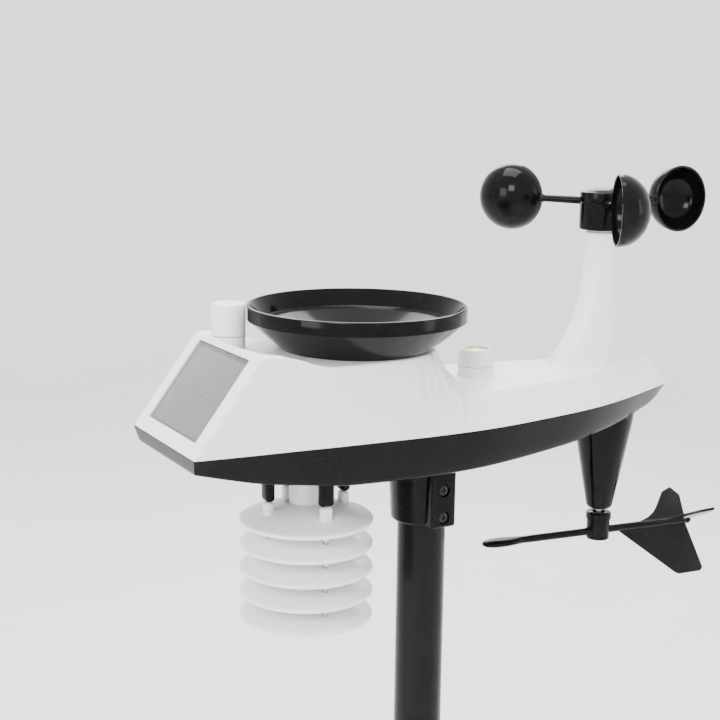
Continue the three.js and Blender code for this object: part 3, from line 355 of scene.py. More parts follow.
def soften(piece, voxel, rounds):
    """Rebuilds the surface on a fine grid and smooths it, so that corners turn into small fillets."""
    grid = piece.modifiers.new("grid", "REMESH")
    grid.mode = "VOXEL"
    grid.voxel_size = voxel * MM
    smooth = piece.modifiers.new("smooth", "SMOOTH")
    smooth.factor = 0.5
    smooth.iterations = rounds
    return settle(piece)


def bevelled(piece, width, segments=2):
    bevel = piece.modifiers.new("bevel", "BEVEL")
    bevel.width = width * MM
    bevel.segments = segments
    bevel.limit_method = "ANGLE"
    bevel.angle_limit = math.radians(30)
    bevel.harden_normals = False
    return settle(piece)


def finished(piece, material, body, slot, *nodes, angle=32):
    """Smooth shading, a material, and the piece's place in the frame."""
    piece.data.materials.clear()
    piece.data.materials.append(material)
    piece.data.shade_smooth()
    piece.data.set_sharp_from_angle(angle=math.radians(angle))
    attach(piece, body)
    if nodes:
        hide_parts(*nodes)
    return piece


def plate_y(name, outline, start, end, lift=SEAM):
    """An outline of (x, z) points, carried along Y from start to end."""
    return prism(name, [(x, start, z) for x, z in outline], [(x, end, z) for x, z in outline], lift)


def bar(name, start, end, radius, end_radius=None, sides=32, lift=SEAM):
    """Round bar between two points."""
    start, end = Vector(start), Vector(end)
    axis = (end - start).normalized()
    side = axis.orthogonal().normalized()
    other = axis.cross(side)
    rings = [[centre + r * (side * math.cos(turn) + other * math.sin(turn)) for turn in around(sides)]
             for centre, r in ((start, radius), (end, end_radius or radius))]
    return prism(name, *rings, lift)


def bore(radius, start, end, z, x=0, sides=32, lift=0):
    """Cutter for a hole along Y."""
    return bar("bore", (x, start, z), (x, end, z), radius, sides=sides, lift=lift)


def rounded(corners, radius, steps=5):
    """Outline of a convex polygon with its corners rounded."""
    points = []
    for i, corner in enumerate(corners):
        here = Vector(corner)
        to_last = Vector(corners[i - 1]) - here
        to_next = Vector(corners[(i + 1) % len(corners)]) - here
        r = min(radius, 0.45 * to_last.length, 0.45 * to_next.length)
        start, end = here + to_last.normalized() * r, here + to_next.normalized() * r
        for t in spread(steps + 1, 0, 1):
            points.append(tuple((1 - t) ** 2 * start + 2 * t * (1 - t) * here + t * t * end))
    return points


# ---------------------------------------------------------------- materials

class Look:
    """Node helpers around one Principled shader."""

    def __init__(self, name, color, roughness, metallic=0.0, coat=0.0, specular=0.5):
        self.material = bpy.data.materials.new(name)
        self.material.use_nodes = True
        self.tree = self.material.node_tree
        self.shader = self.tree.nodes["Principled BSDF"]
        constants = {"Base Color": (*color, 1), "Roughness": roughness, "Metallic": metallic,
                     "Coat Weight": coat, "Coat Roughness": COAT_ROUGHNESS, "Specular IOR Level": specular}
        for key, value in constants.items():
            self.feed(key, value)
        self.coordinates = self.tree.nodes.new("ShaderNodeTexCoord").outputs["Object"]

    def put(self, socket, value):
        """Links a socket to another node's output, or sets it to a constant."""
        if isinstance(value, bpy.types.NodeSocket):
            self.tree.links.new(value, socket)
        else:
            socket.default_value = value

    def feed(self, name, value):
        self.put(self.shader.inputs[name], value)

    def node(self, kind, inputs, **settings):
        made = self.tree.nodes.new("ShaderNode" + kind)
        for key, value in settings.items():
            setattr(made, key, value)
        for key, value in inputs.items():
            self.put(made.inputs[key], value)
        return made

    def noise(self, scale, detail=4.0, stretch=None):
        vector = self.coordinates
        if stretch:
            vector = self.node("Mapping", {"Scale": stretch, "Vector": vector}).outputs["Vector"]
        return self.node("TexNoise", {"Scale": scale, "Detail": detail, "Vector": vector}).outputs["Fac"]

    def ramp(self, fac, *stops):
        made = self.node("ValToRGB", {"Fac": fac})
        ramp = made.color_ramp
        while len(ramp.elements) < len(stops):
            ramp.elements.new(0.5)
        for element, (place, color) in zip(ramp.elements, stops):
            element.position = place
            element.color = (*color, 1)
        return made.outputs["Color"]

    def span(self, fac, low, high, start=0.0, end=1.0):
        return self.node("MapRange", {"Value": fac, "From Min": start, "From Max": end, "To Min": low,
                                      "To Max": high}).outputs["Result"]

    def math(self, operation, *values):
        return self.node("Math", dict(enumerate(values)), operation=operation).outputs[0]

    def mix(self, base, mask, color):
        """A colour laid over a base where the mask says so."""
        inputs = {"Factor": mask, "A": base, "B": (*color, 1)}
        return self.node("Mix", inputs, data_type="RGBA").outputs["Result"]

    def axes(self):
        return self.node("SeparateXYZ", {0: self.coordinates}).outputs

    def roughen(self, scale, detail, *reach):
        self.feed("Roughness", self.span(self.noise(scale, detail), *reach))

    def bump(self, *layers):
        """Each layer is (height, strength, distance in millimetres)."""
        below = {}
        for height, strength, distance in layers:
            inputs = {"Height": height, "Strength": strength, "Distance": distance * MM, **below}
            below = {"Normal": self.node("Bump", inputs).outputs["Normal"]}
        self.feed("Normal", below["Normal"])


def moulded(name, dark, light, rough, grain, ripple, coat=0.0, specular=0.5):
    """Moulded or coated surface: faint mottling, uneven gloss, fine grain and slow ripple."""
    look = Look(name, light, sum(rough) / 2, coat=coat, specular=specular)
    look.feed("Base Color", look.ramp(look.noise(14, 5), (NOISE_LOW, dark), (NOISE_HIGH, light)))
    look.roughen(55, 6, *rough, NOISE_LOW, NOISE_HIGH)
    look.bump((look.noise(28, 2), ripple, 0.4), (look.noise(1500, 2), grain, 0.05))
    return look.material


def brushed(name, dark, light, rough, stretch):
    look = Look(name, light, sum(rough) / 2, metallic=1.0)
    lines = look.noise(260, 6, stretch)
    look.feed("Base Color", look.ramp(lines, (NOISE_LOW, dark), (NOISE_HIGH, light)))
    look.feed("Roughness", look.span(lines, *rough, NOISE_LOW, NOISE_HIGH))
    look.bump((lines, 0.15, 0.05), (look.noise(70, 3), 0.05, 0.2))
    return look.material


def solar_glass():
    """Grey cell under clear film: border, thin collector lines across and a faint middle line."""
    look = Look("solar_cell", (0.15, 0.154, 0.162), 0.2, coat=0.1)
    low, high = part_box("solar_panel")
    _, y, z = look.axes()
    across = look.span(y, 0.0, 1.0, low.y, high.y)
    up = look.span(z, 0.0, 1.0, low.z, high.z)

    def off(value, place):
        return look.math("ABSOLUTE", look.math("SUBTRACT", value, place))

    def edge(value, width):
        return look.math("LESS_THAN", look.math("SUBTRACT", 0.5, off(value, 0.5)), width)

    border = look.math("MAXIMUM", edge(across, 0.035), edge(up, 0.045))
    fingers = look.math("LESS_THAN", look.math("FRACT", look.math("MULTIPLY", up, 34.0)), 0.1)
    middle_line = look.math("LESS_THAN", off(up, 0.47), 0.008)
    color = look.ramp(look.noise(90, 6), (NOISE_LOW, (0.15, 0.155, 0.163)),
                      (NOISE_HIGH, (0.162, 0.167, 0.175)))
    for mask, amount, ink in ((fingers, 0.22, (0.21, 0.214, 0.222)), (middle_line, 0.5, (0.11, 0.113, 0.12)),
                              (border, 0.75, (0.08, 0.083, 0.088))):
        color = look.mix(color, look.math("MULTIPLY", mask, amount), ink)
    look.feed("Base Color", color)
    look.roughen(120, 4, 0.22, 0.36, NOISE_LOW, NOISE_HIGH)
    look.bump((fingers, 0.1, 0.05), (look.noise(900, 2), 0.05, 0.05))
    return look.material


def vial_green():
    """Tinted level liquid seen through its clear top, with a printed ring about the middle."""
    look = Look("vial", (0.6, 0.78, 0.04), 0.1, coat=0.2)
    centre = middle("level_vial") * MM
    x, y, _ = look.axes()
    dx, dy = look.math("SUBTRACT", x, centre.x), look.math("SUBTRACT", y, centre.y)
    away = look.math("SQRT", look.math("ADD", look.math("MULTIPLY", dx, dx), look.math("MULTIPLY", dy, dy)))
    share = look.math("DIVIDE", away, VIAL_R * MM)
    look.feed("Base Color", look.ramp(share, (0.0, (0.66, 0.85, 0.06)), (0.46, (0.60, 0.80, 0.04)),
                                      (0.48, (0.03, 0.04, 0.01)), (0.53, (0.03, 0.04, 0.01)),
                                      (0.55, (0.58, 0.78, 0.04)), (0.86, (0.50, 0.68, 0.04)),
                                      (1.0, (0.34, 0.48, 0.06))))
    look.roughen(200, 3, 0.05, 0.12)
    look.bump((look.noise(60, 2), 0.03, 0.2))
    return look.material


def circuit_green():
    look = Look("board", (0.02, 0.14, 0.05), 0.35, coat=0.3)
    grid = look.node("TexBrick", {"Scale": 170, "Mortar Size": 0.06, "Color1": (0.015, 0.13, 0.045, 1),
                                  "Color2": (0.02, 0.17, 0.06, 1), "Mortar": (0.05, 0.26, 0.11, 1),
                                  "Vector": look.coordinates})
    dots = look.node("TexVoronoi", {"Scale": 240, "Vector": look.coordinates})
    pads = look.math("LESS_THAN", dots.outputs["Distance"], 0.16)
    look.feed("Base Color", look.mix(grid.outputs["Color"], pads, (0.72, 0.70, 0.64)))
    look.roughen(150, 3, 0.28, 0.45)
    look.bump((pads, 0.3, 0.05), (grid.outputs["Fac"], 0.15, 0.05))
    return look.material


def battery_sleeve():
    """Plain shrink sleeve in two colours with bare metal ends."""
    blue, band = (0.03, 0.07, 0.2), (0.75, 0.77, 0.8)
    look = Look("battery", blue, 0.3, coat=0.4)
    reach = max(abs(low_of("battery_1").y), abs(high_of("battery_1").y)) * MM
    share = look.math("DIVIDE", look.math("ABSOLUTE", look.axes()[1]), reach)
    look.feed("Base Color", look.ramp(share, (0.0, blue), (0.55, blue), (0.56, band), (0.6, band),
                                      (0.61, blue), (0.93, (0.02, 0.05, 0.16)), (0.935, (0.7, 0.7, 0.7))))
    look.feed("Metallic", look.math("GREATER_THAN", share, 0.935))
    look.roughen(180, 4, 0.22, 0.38)
    look.bump((look.noise(90, 3), 0.06, 0.1))
    return look.material


def clear_glass(name, tint):
    look = Look(name, tint, 0.04)
    look.feed("Transmission Weight", 0.85)
    look.feed("IOR", 1.45)
    look.roughen(150, 3, 0.02, 0.08)
    look.bump((look.noise(80, 2), 0.03, 0.1))
    return look.material


WHITE = moulded("white_shell", (0.80, 0.805, 0.81), (0.86, 0.865, 0.87), (0.26, 0.36), 0.05, 0.02,
                coat=0.15)
GLOSS = moulded("black_shell", (0.002, 0.002, 0.0025), (0.004, 0.004, 0.0045), (0.08, 0.15), 0.015, 0.015,
                specular=0.1)
TUBE = moulded("black_tube", (0.003, 0.003, 0.0035), (0.006, 0.006, 0.0065), (0.16, 0.26), 0.05, 0.02,
               specular=0.12)
MATT = moulded("black_plastic", (0.010, 0.010, 0.011), (0.018, 0.018, 0.019), (0.38, 0.55), 0.15, 0.03)
RUBBER = moulded("rubber", (0.012, 0.012, 0.013), (0.024, 0.023, 0.022), (0.62, 0.85), 0.35, 0.08,
                 specular=0.3)
DARK_STEEL = moulded("dark_steel", (0.006, 0.006, 0.007), (0.014, 0.014, 0.015), (0.22, 0.36), 0.05, 0.06,
                     specular=0.3)
STEEL = brushed("steel", (0.42, 0.43, 0.45), (0.62, 0.63, 0.65), (0.2, 0.34), (1, 1, 12))
BRASS = brushed("brass", (0.52, 0.36, 0.12), (0.72, 0.54, 0.22), (0.24, 0.38), (1, 1, 9))
SOLAR = solar_glass()
VIAL = vial_green()
BOARD = circuit_green()
SLEEVE = battery_sleeve()
REED = clear_glass("reed_glass", (0.75, 0.85, 0.8))
BUBBLE = clear_glass("bubble_glass", (0.95, 1.0, 0.8))


# ---------------------------------------------------------------- hull shapes

STATIONS = spread(64, STERN, 158) + [162, 166, 170, 173, 176, 178, 179.2, BOW]


def inset_outline(inset, stern_inset, bow_inset, height):
    """The seam outline drawn in by an inset, with its two ends moved by their own amounts."""
    scale = (BOW - STERN - stern_inset - bow_inset) / (BOW - STERN)
    outline = []
    for station in STATIONS:
        half = along(SEAM_OUTLINE, station)
        drawn = half**2 / (half + inset * 1.33 + 1e-6)
        outline.append((STERN + stern_inset + (station - STERN) * scale, drawn, height(station)))
    return outline


def edge_arc(radius, steps=4):
    """Steps of a rounded edge: (part of the radius still to rise, distance drawn in)."""
    turns = spread(steps + 1, 0, math.pi / 2)
    return [(radius * (1 - math.sin(turn)), radius * (1 - math.cos(turn))) for turn in turns]


def low_hull(name, skin):
    top, rings = LOW_DECK - skin, []
    levels = [(-BELOW_SEAM, 0), (0, 0)] + [(top - fall, drawn) for fall, drawn in edge_arc(EDGE_ROUND)]
    for z, drawn in levels:
        side = SIDE_LEAN * max(z, 0) + drawn + skin
        rings.append(inset_outline(side, STERN_LEAN * max(z, 0) + skin * 1.25, side, lambda x, z=z: z))
    return loft(name, rings)


def high_body(name, skin):
    """Walls of the high deck, which lean in more and more towards the low deck, with the sloping stern."""
    top = HIGH_DECK - skin
    ribs = []
    for x in spread(40, STERN, 16):
        foot = along(SEAM_OUTLINE, x) - skin
        shoulder = foot - along(HIGH_LEAN, x) * (top - EDGE_ROUND)
        ribs.append([(x, foot, -BELOW_SEAM), (x, foot, 0)]
                    + [(x, shoulder - drawn, top - fall) for fall, drawn in edge_arc(EDGE_ROUND)])
    body = loft(name, ribs)
    base = STERN + skin * 1.25
    slope_cut = plate_y("slope_cut", [(base - 60, -BELOW_SEAM - 2), (base, -BELOW_SEAM - 2), (base, 0),
                                      (base + STERN_LEAN * 80, 80), (base - 60, 80)], -80, 80)
    return carve(body, [slope_cut])


def upper_shape(name, skin):
    """Outside of the white housing without its tower; skin shrinks it to the inside of the wall."""
    top = DISH_FLOOR - skin
    cone = turned("cone", [(0, -BELOW_SEAM)] + [(r - skin, z) for r, z in SEAT_CONE]
                  + [(SEAT_TOP_R - skin * 0.6, top), (0, top)], 96, FUNNEL_X)
    stern_block = block("stern_block", (-400, -200, -20), (FUNNEL_X, 200, 200))
    stern_part = combine(high_body("stern_part", skin), [stern_block], "INTERSECT")
    seat_part = combine(high_body("seat_part", skin), [cone], "INTERSECT")
    outline = [(0, top)] + [(r, z - skin) for r, z in DISH] + [(0, DISH[-1][1] - skin)]
    dish = turned("dish", outline, 128, FUNNEL_X)
    return carve(combine(low_hull(name, skin), [stern_part, seat_part]), [dish])


def tower(name, skin):
    """Flared tower of the wind cups, kept inside the edge of the low deck."""
    lengths = [(z, a) for z, a, b in TOWER_RINGS]
    widths = [(z, b) for z, a, b in TOWER_RINGS]
    rings = []
    for z in spread(44, TOWER_RINGS[0][0], TOWER_RINGS[-1][0]):
        a = max(along(lengths, z) - skin, TOWER_BORE)
        b = max(along(widths, z) - skin, TOWER_BORE)
        rings.append([(TOWER_X - a * math.cos(turn), b * math.sin(turn), z)
                      for turn in spread(33, 0, math.pi)])
    inset = SIDE_LEAN * LOW_DECK + EDGE_ROUND
    reach = loft("deck_reach", [inset_outline(inset + skin, 12, inset, lambda x, z=z: z) for z in (0, 200)])
    return combine(loft(name, rings), [reach], "INTERSECT")


def tray(name, skin, layers=14):
    """The black tray under the seam; skin shrinks it to the inside of the wall."""
    rings = []
    if skin:
        rings.append(inset_outline(skin, skin, skin, lambda x: 1))
    for t in spread(layers, 0, 3):
        inset = along([(0, 0), (1, 3.2), (2, 5.2), (3, 9)], t)
        stern_inset = along([(0, 0), (1, 1.8), (2, 3), (3, 5.5)], t)
        share = along([(0, 0), (1, 0.82), (2, 0.96), (3, 1)], t)
        rings.append(inset_outline(inset + skin, stern_inset + skin, inset * 1.3 + skin,
                                   lambda x, share=share: -share * (along(TRAY_DEPTH, x) - skin)))
    return loft(name, rings)


def on_slope(piece):
    """Lays a piece drawn flat into the solar face: its X runs up the slope, its Z out of the face."""
    return moved(piece, at(STERN, 0, SEAM) @ Matrix.Rotation(-math.atan2(1, STERN_LEAN), 4, "Y"))


def panel_shape(name, grow, corner, bottom, top):
    """A plate of the solar window's size, grown all round, laid into the solar face."""
    start, end, side = PANEL_LIFT - grow, PANEL_LIFT + PANEL_LENGTH + grow, PANEL_WIDTH / 2 + grow
    outline = rounded([(start, -side), (end, -side), (end, side), (start, side)], corner)
    return on_slope(plate(name, outline, bottom, top, 0))


def sector(name, radius, width, angle, bottom, top):
    arc = spread(9, math.radians(angle - width / 2), math.radians(angle + width / 2))
    outline = [(FUNNEL_X, 0)] + [(FUNNEL_X + radius * math.cos(a), radius * math.sin(a)) for a in arc]
    return plate(name, outline, bottom, top)


# ---------------------------------------------------------------- white housing

def upper_housing():
    skin = upper_shape("upper_housing_shell", 0)
    level_boss = turned("level_boss", [(0, 8), (LEVEL_BOSS_R + 0.9, 8)]
                        + near(LEVEL_BOSS_R, LOW_DECK, (0.9, 0), (0.3, 0.3), (0, 0.9))
                        + [(LEVEL_BOSS_R, LEVEL_BASE_TOP), (0, LEVEL_BASE_TOP)], 96, LEVEL_X)
    antenna_boss = rod("antenna_boss", ANTENNA_R, DISH_FLOOR, HIGH_DECK, ANTENNA_X, ANTENNA_Y, 96)
    soften(combine(skin, [tower("tower_skin", 0)]), VOXEL, SMOOTHING)
    combine(skin, [level_boss, antenna_boss])
    neck = turned("neck", [(0, 90), (TOWER_NECK - 0.1, 90)]
                  + near(TOWER_NECK, TOWER_TOP, (-0.1, -0.5), (-0.6, 0)) + [(0, TOWER_TOP)], 64, TOWER_X)
    below = block("below_seam", (-300, -200, -60), (300, 200, SEAM_CHAMFER))
    inside = combine(upper_shape("inside", WALL), [tower("tower_inside", WALL)])
    carve(combine(skin, [neck, seat_fin()]), [below, inside])
    floor = -PANEL_RECESS - PANEL_THICK
    side = PANEL_WIDTH / 2 + 3
    backing = on_slope(block("backing", (PANEL_LIFT - 3, -side, floor - 1.9),
                             (PANEL_LIFT + PANEL_LENGTH + 3, side, -0.6), 0))
    combine(skin, [backing, rod("rotor_tube", TOWER_BORE + WALL, 26, 92, TOWER_X)])
    carve(skin, [panel_shape("pocket", GAP, 0.8, floor - GAP, 1),
                 rod("antenna_hole", ANTENNA_R - 1.3, 30, 60, ANTENNA_X, ANTENNA_Y),
                 rod("seat_hole", SKIRT_R + GAP, 0, 60, FUNNEL_X, 0, 96),
                 rod("rotor_bore", TOWER_BORE, 20, 120, TOWER_X),
                 rod("lug_groove", LUG_REACH + GAP, 20, DISH_FLOOR - WALL, FUNNEL_X, 0, 96)]
          + [sector(f"lug_slot_{k}", LUG_REACH + GAP, 24, 120 * k + 30, 20, 60) for k in range(3)])
    return finished(skin, WHITE, "station", "white_shell", "upper_housing", angle=38)


def seat_fin():
    """Small moulded rib down the side of the funnel seat."""
    outline = [(36, 30), (43.9, DISH_FLOOR - 0.2), (45.2, DISH_FLOOR - 0.6), (57.2, LOW_DECK + 0.2),
               (50, 14), (40, 14)]
    fin = bevelled(plate_y("seat_fin", outline, -SEAT_FIN_THICK / 2, SEAT_FIN_THICK / 2, 0), 0.35)
    return moved(fin, at(FUNNEL_X, 0, SEAM) @ spun("Z", SEAT_FIN_ANGLE))


def solar_panel():
    panel = panel_shape("solar_window", 0, 0.6, -PANEL_RECESS - PANEL_THICK, -PANEL_RECESS)
    return finished(bevelled(panel, 0.15), SOLAR, "station", "solar_cell", "solar_panel")


def antenna_cover():
    inner, core, base = ANTENNA_R - CAP_WALL, ANTENNA_R - CAP_WALL - CAP_WALL, HIGH_DECK + GAP
    profile = [(core, HIGH_DECK - 6), (inner, HIGH_DECK - 6), (inner, base)]
    profile += near(ANTENNA_R, base, (-0.3, 0), (0, 0.3))
    profile += [(ANTENNA_R - drawn, ANTENNA_TOP - fall) for fall, drawn in edge_arc(1.2, 6)]
    profile += [(0, ANTENNA_TOP), (0, ANTENNA_TOP - CAP_WALL), (core, ANTENNA_TOP - CAP_WALL)]
    cover = turned("antenna_dome", profile, 96, ANTENNA_X, ANTENNA_Y)
    return finished(cover, WHITE, "station", "white_shell", "antenna_cover")


def level_cap():
    """Ribbed cap that holds the bubble level."""
    def ribs(angle, k, radius):
        return radius + (0.14 * math.cos(36 * angle) - 0.14 if k in (2, 3) else 0)

    inner, base = LEVEL_TOP_R - CAP_WALL, LEVEL_BASE_TOP + GAP
    profile = [(inner, base), (LEVEL_SKIRT_R - 0.5, base), (LEVEL_SKIRT_R - 0.45, LEVEL_BASE_TOP + 0.8)]
    profile += near(LEVEL_TOP_R, LEVEL_TOP, (-0.2, -1.1), (-0.5, -0.4), (-1, 0))
    profile += [(VIAL_R + GAP, LEVEL_TOP), (VIAL_R + GAP, LEVEL_TOP - 5.3), (inner, LEVEL_TOP - 5.3)]
    cap = turned("level_cap", profile, 288, LEVEL_X, 0, radius_at=ribs)
    return finished(cap, WHITE, "station", "white_shell", "level_housing")


def level_vial():
    arc = spread(10, math.pi / 2, 0)
    dome = [(VIAL_R * math.sin(a), LEVEL_TOP - 1.4 + math.cos(a)) for a in arc]
    vial = turned("bubble_level", [(0, LEVEL_TOP - 5), (VIAL_R, LEVEL_TOP - 5)] + dome, 64, LEVEL_X)
    finished(vial, VIAL, "station", "vial", "level_vial")
    dome = [(2.3 * math.sin(a), LEVEL_TOP - 0.45 + 0.35 * math.cos(a)) for a in arc]
    bubble = turned("level_bubble", [(0, LEVEL_TOP - 0.7)] + dome, 40, LEVEL_X + 0.6, 0.5)
    return finished(bubble, BUBBLE, "station", "vial")


# ---------------------------------------------------------------- black tray

def post_spot(k):
    """Middle of one of the four posts about the radiation shield's axis."""
    turn = math.pi / 2 * k
    return SHIELD_X + POST_R * math.cos(turn), POST_R * math.sin(turn)


def shield_post(name, k, half, bottom, top, edge):
    """Rounded post on one of the four spots about the radiation shield's axis."""
    x, y = half
    post = block(f"{name}_{k}", (POST_R - x, -y, bottom), (POST_R + x, y, top), 0)
    return moved(bevelled(post, edge, 5), at(SHIELD_X, 0, SEAM) @ spun("Z", 90 * k))


def lower_housing():
    shell = tray("lower_housing_tray", 0, 22)
    socket = turned("socket", [(0, -18), (26.5, -18), (24.6, -22), (22.6, -25), (20.8, -27.2), (19.9, -30)]
                    + near(MAST_R, SOCKET_BOTTOM, (4.1, 2), (3.8, 0.8), (3.1, 0)) + [(0, SOCKET_BOTTOM)], 96)
    pad = bevelled(block("pad", (-8, -PAD_REACH, SOCKET_BOTTOM), (8, PAD_REACH, -18)), 1.6, 4)
    cone = turned("vane_cone", [(0, -8), (19.2, -8), (18.9, -13), (18.4, -17.5), (17.9, -21), (17.2, -25)]
                  + near(CONE_BOTTOM_R, CONE_BOTTOM, (0.4, 2.2), (0, 1), (-1.2, 0)) + [(0, CONE_BOTTOM)],
                  96, VANE_X)
    posts = [shield_post("post", k, (2.75, 4.25), -40, -19, 2.1) for k in range(4)]
    combine(shell, [socket, pad, cone] + posts)
    holes = []
    for z in BOLT_HEIGHTS:
        holes += [bore(2.2, -40, 40, z, lift=SEAM), bore(3.6, -40, 3 - PAD_REACH, z, sides=48, lift=SEAM),
                  bore(4.34, PAD_REACH - 4, 40, z, sides=6, lift=SEAM)]
    wide = CONE_TOP_R - 2 * WALL
    well = near(0, CONE_BOTTOM, (0, 6), (3, 6), (3.5, 20)) + [(wide, -26), (wide, 0), (0, 0)]
    button = middle("reset_button")
    holes += [rod("mast_bore", MAST_R + GAP, SOCKET_BOTTOM - 1, -26.7, sides=96),
              rod("vane_bore", 5.15, CONE_BOTTOM - 1, CONE_BOTTOM + 6.5, VANE_X),
              turned("vane_well", well, 48, VANE_X),
              rod("shield_hole", 8, -40, 0, SHIELD_X), rod("button_hole", 3.3, -60, 0, button.x, button.y),
              rod("drain_1", 4, -40, 0, FUNNEL_X - 18, 27), rod("drain_2", 4, -40, 0, FUNNEL_X + 26, 27),
              door_prism("door_opening", GAP)]
    holes += [rod(f"post_hole_{k}", 1.3, -41, -24, *post_spot(k), 20) for k in range(4)]
    carve(shell, [tray("tray_inside", WALL)] + holes)
    carve(shell, seam_groove())
    screw = middle("battery_door_screw").x
    boss = carve(block("screw_boss", (screw - 4, -4, -20), (screw + 4, 4, -7)),
                 [rod("screw_hole", 1.65, -60, 0, screw, 0, 24)])
    frame_area = carve(door_prism("ledge_area", DOOR_LIP), [door_prism("ledge_opening", -2)])
    ledge = carve(tray("ledge", WALL + GAP), [tray("ledge_inside", WALL + 2.2)])
    combine(ledge, [frame_area], "INTERSECT")
    finished(combine(ledge, [boss]), GLOSS, "station", "black_shell")
    return finished(shell, GLOSS, "station", "black_shell", "lower_housing", angle=34)


def seam_groove():
    """Fine shadow line between the two housings."""
    outer = loft("groove_outer", [inset_outline(-0.6, -0.6, -0.6, lambda x, z=z: z) for z in (-0.35, 0.5)])
    inner = loft("groove_inner", [inset_outline(0.35, 0.35, 0.35, lambda x, z=z: z) for z in (-1, 1)])
    return [carve(outer, [inner])]


def door_prism(name, grow):
    low, high = low_of("battery_door"), high_of("battery_door")
    return block(name, (low.x - grow, low.y - grow, -60), (high.x + grow, high.y + grow, 0))


def battery_door():
    screw = middle("battery_door_screw").x
    door = carve(tray("battery_hatch", 0, 22), [tray("hatch_inside", WALL)])
    combine(door, [door_prism("hatch_area", 0)], "INTERSECT")
    carve(door, [rod("hatch_screw_hole", 1.7, -60, 0, screw, 0, 32)])
    return finished(door, GLOSS, "door", "black_shell", "battery_door", angle=34)


# ---------------------------------------------------------------- rain funnel

def rain_funnel():
    seat = DISH_FLOOR + GAP
    band = FUNNEL_TOP - FUNNEL_BAND
    bottom = DISH_FLOOR - 6.2
    inner = SKIRT_R - FUNNEL_WALL
    profile = [(inner, bottom)] + near(SKIRT_R, bottom, (-0.4, 0), (0, 0.4)) + [(SKIRT_R, seat)]
    profile += near(FUNNEL_SEAT_R, seat, (-0.3, 0), (0, 0.3)) + near(FUNNEL_R, band, (-0.5, -0.35), (0, 0.1))
    profile += near(FUNNEL_R, FUNNEL_TOP, (0, -0.9), (-0.25, -0.3), (-0.9, 0))
    profile += near(FUNNEL_R - FUNNEL_WALL, FUNNEL_TOP, (0.4, 0), (0, -0.4))
    profile += near(FUNNEL_BOWL_R, FUNNEL_BOWL_EDGE, (0.3, 0.8), (-0.1, 0.2), (-0.8, -0.2))
    profile += near(0, seat, (5.5, 0.1), (4.2, -0.8), (3.3, -2.2), (3, -4))
    profile += [(3, FUNNEL_SPOUT), (4.5, FUNNEL_SPOUT), (4.5, seat - 4), (5.5, seat - 2.6),
                (inner, seat + 5.6)]
    funnel = turned("rain_bowl", profile, 256, FUNNEL_X)
    top = DISH_FLOOR - WALL - GAP
    lugs = [carve(sector(f"lug_{k}", LUG_REACH, 20, 120 * k, top - 2, top),
                  [rod("lug_core", SKIRT_R - 0.5, 0, 60, FUNNEL_X, sides=96)]) for k in range(3)]
    return finished(combine(funnel, lugs), GLOSS, "funnel", "black_shell", "rain_funnel")


# ---------------------------------------------------------------- wind cups

def at_rotor():
    return at(TOWER_X, 0, SEAM) @ spun("Z", CUP_ANGLE)


def cup_wheel():
    hub = turned("cup_rotor_hub", [(0, ROTOR_BOTTOM + 5.2)]
                 + near(TOWER_NECK, ROTOR_BOTTOM, (1, 5.2), (1, 0.3), (1.3, 0))
                 + near(ROTOR_R, ROTOR_BOTTOM, (-0.5, 0), (0, 0.5))
                 + near(ROTOR_R, ROTOR_SPLIT - GAP, (0, -0.25), (-0.25, 0)) + [(0, ROTOR_SPLIT - GAP)],
                 128, lift=0)
    outer = [(CUP_R * math.sin(a), -CUP_DEPTH * math.cos(a)) for a in spread(28, 0, math.pi / 2)]
    inner_r, inner_depth = CUP_R - CUP_WALL, CUP_DEPTH - CUP_WALL
    inner = [(inner_r * math.sin(a), -inner_depth * math.cos(a)) for a in spread(28, math.pi / 2, 0)]
    lip = near(CUP_R, CUP_RIM, (0, -0.3), (-0.3, 0)) + near(inner_r, CUP_RIM, (0.3, 0), (0, -0.3))
    joint = CUP_REACH - CUP_R
    parts = []
    for k in range(3):
        cup = turned(f"cup_{k}", outer + lip + inner, 96, lift=0)
        moved(cup, at(CUP_REACH, 0, 0) @ spun("X", 90))
        arm = bar(f"arm_{k}", (ROTOR_R - 3, 0, 0), (joint + 0.9, 0, 0), ARM_R, ARM_R - 0.3, 40, lift=0)
        boss = bar(f"cup_boss_{k}", (joint - 1.6, 0, 0), (joint + 1.0, 0, 0), 2.2, 3, 40, lift=0)
        parts += [moved(part, spun("Z", 120 * k) @ at(0, 0, CUP_HEIGHT)) for part in (cup, arm, boss)]
    combine(hub, parts)
    carve(hub, [rod("rotor_shaft_hole", 2.15, 90, 113.3, lift=0)])
    moved(hub, at_rotor())
    finished(hub, GLOSS, "cup_rotor", "black_shell", "cup_wheel", angle=30)
    cap = turned("cup_rotor_cap", [(0, ROTOR_SPLIT)] + near(ROTOR_R, ROTOR_SPLIT, (-0.25, 0), (0, 0.25))
                 + [(ROTOR_R - drawn, ROTOR_EDGE - fall) for fall, drawn in edge_arc(0.8)]
                 + [(ROTOR_R * 0.86, ROTOR_EDGE + 0.6), (ROTOR_R * 0.6, ROTOR_TOP - 0.75),
                    (ROTOR_R * 0.3, ROTOR_TOP - 0.2), (0, ROTOR_TOP)], 128, lift=0)
    start, end = (ROTOR_R - 3.3, 0, ROTOR_SPLIT), (ROTOR_R + 1, 0, ROTOR_SPLIT)
    carve(cap, [moved(bar(f"arm_notch_{k}", start, end, ARM_R + GAP, sides=40, lift=0), spun("Z", 120 * k))
                for k in range(3)])
    moved(cap, at_rotor())
    return finished(cap, GLOSS, "cup_rotor", "black_shell", "rotor_cap", angle=40)


# ---------------------------------------------------------------- wind vane

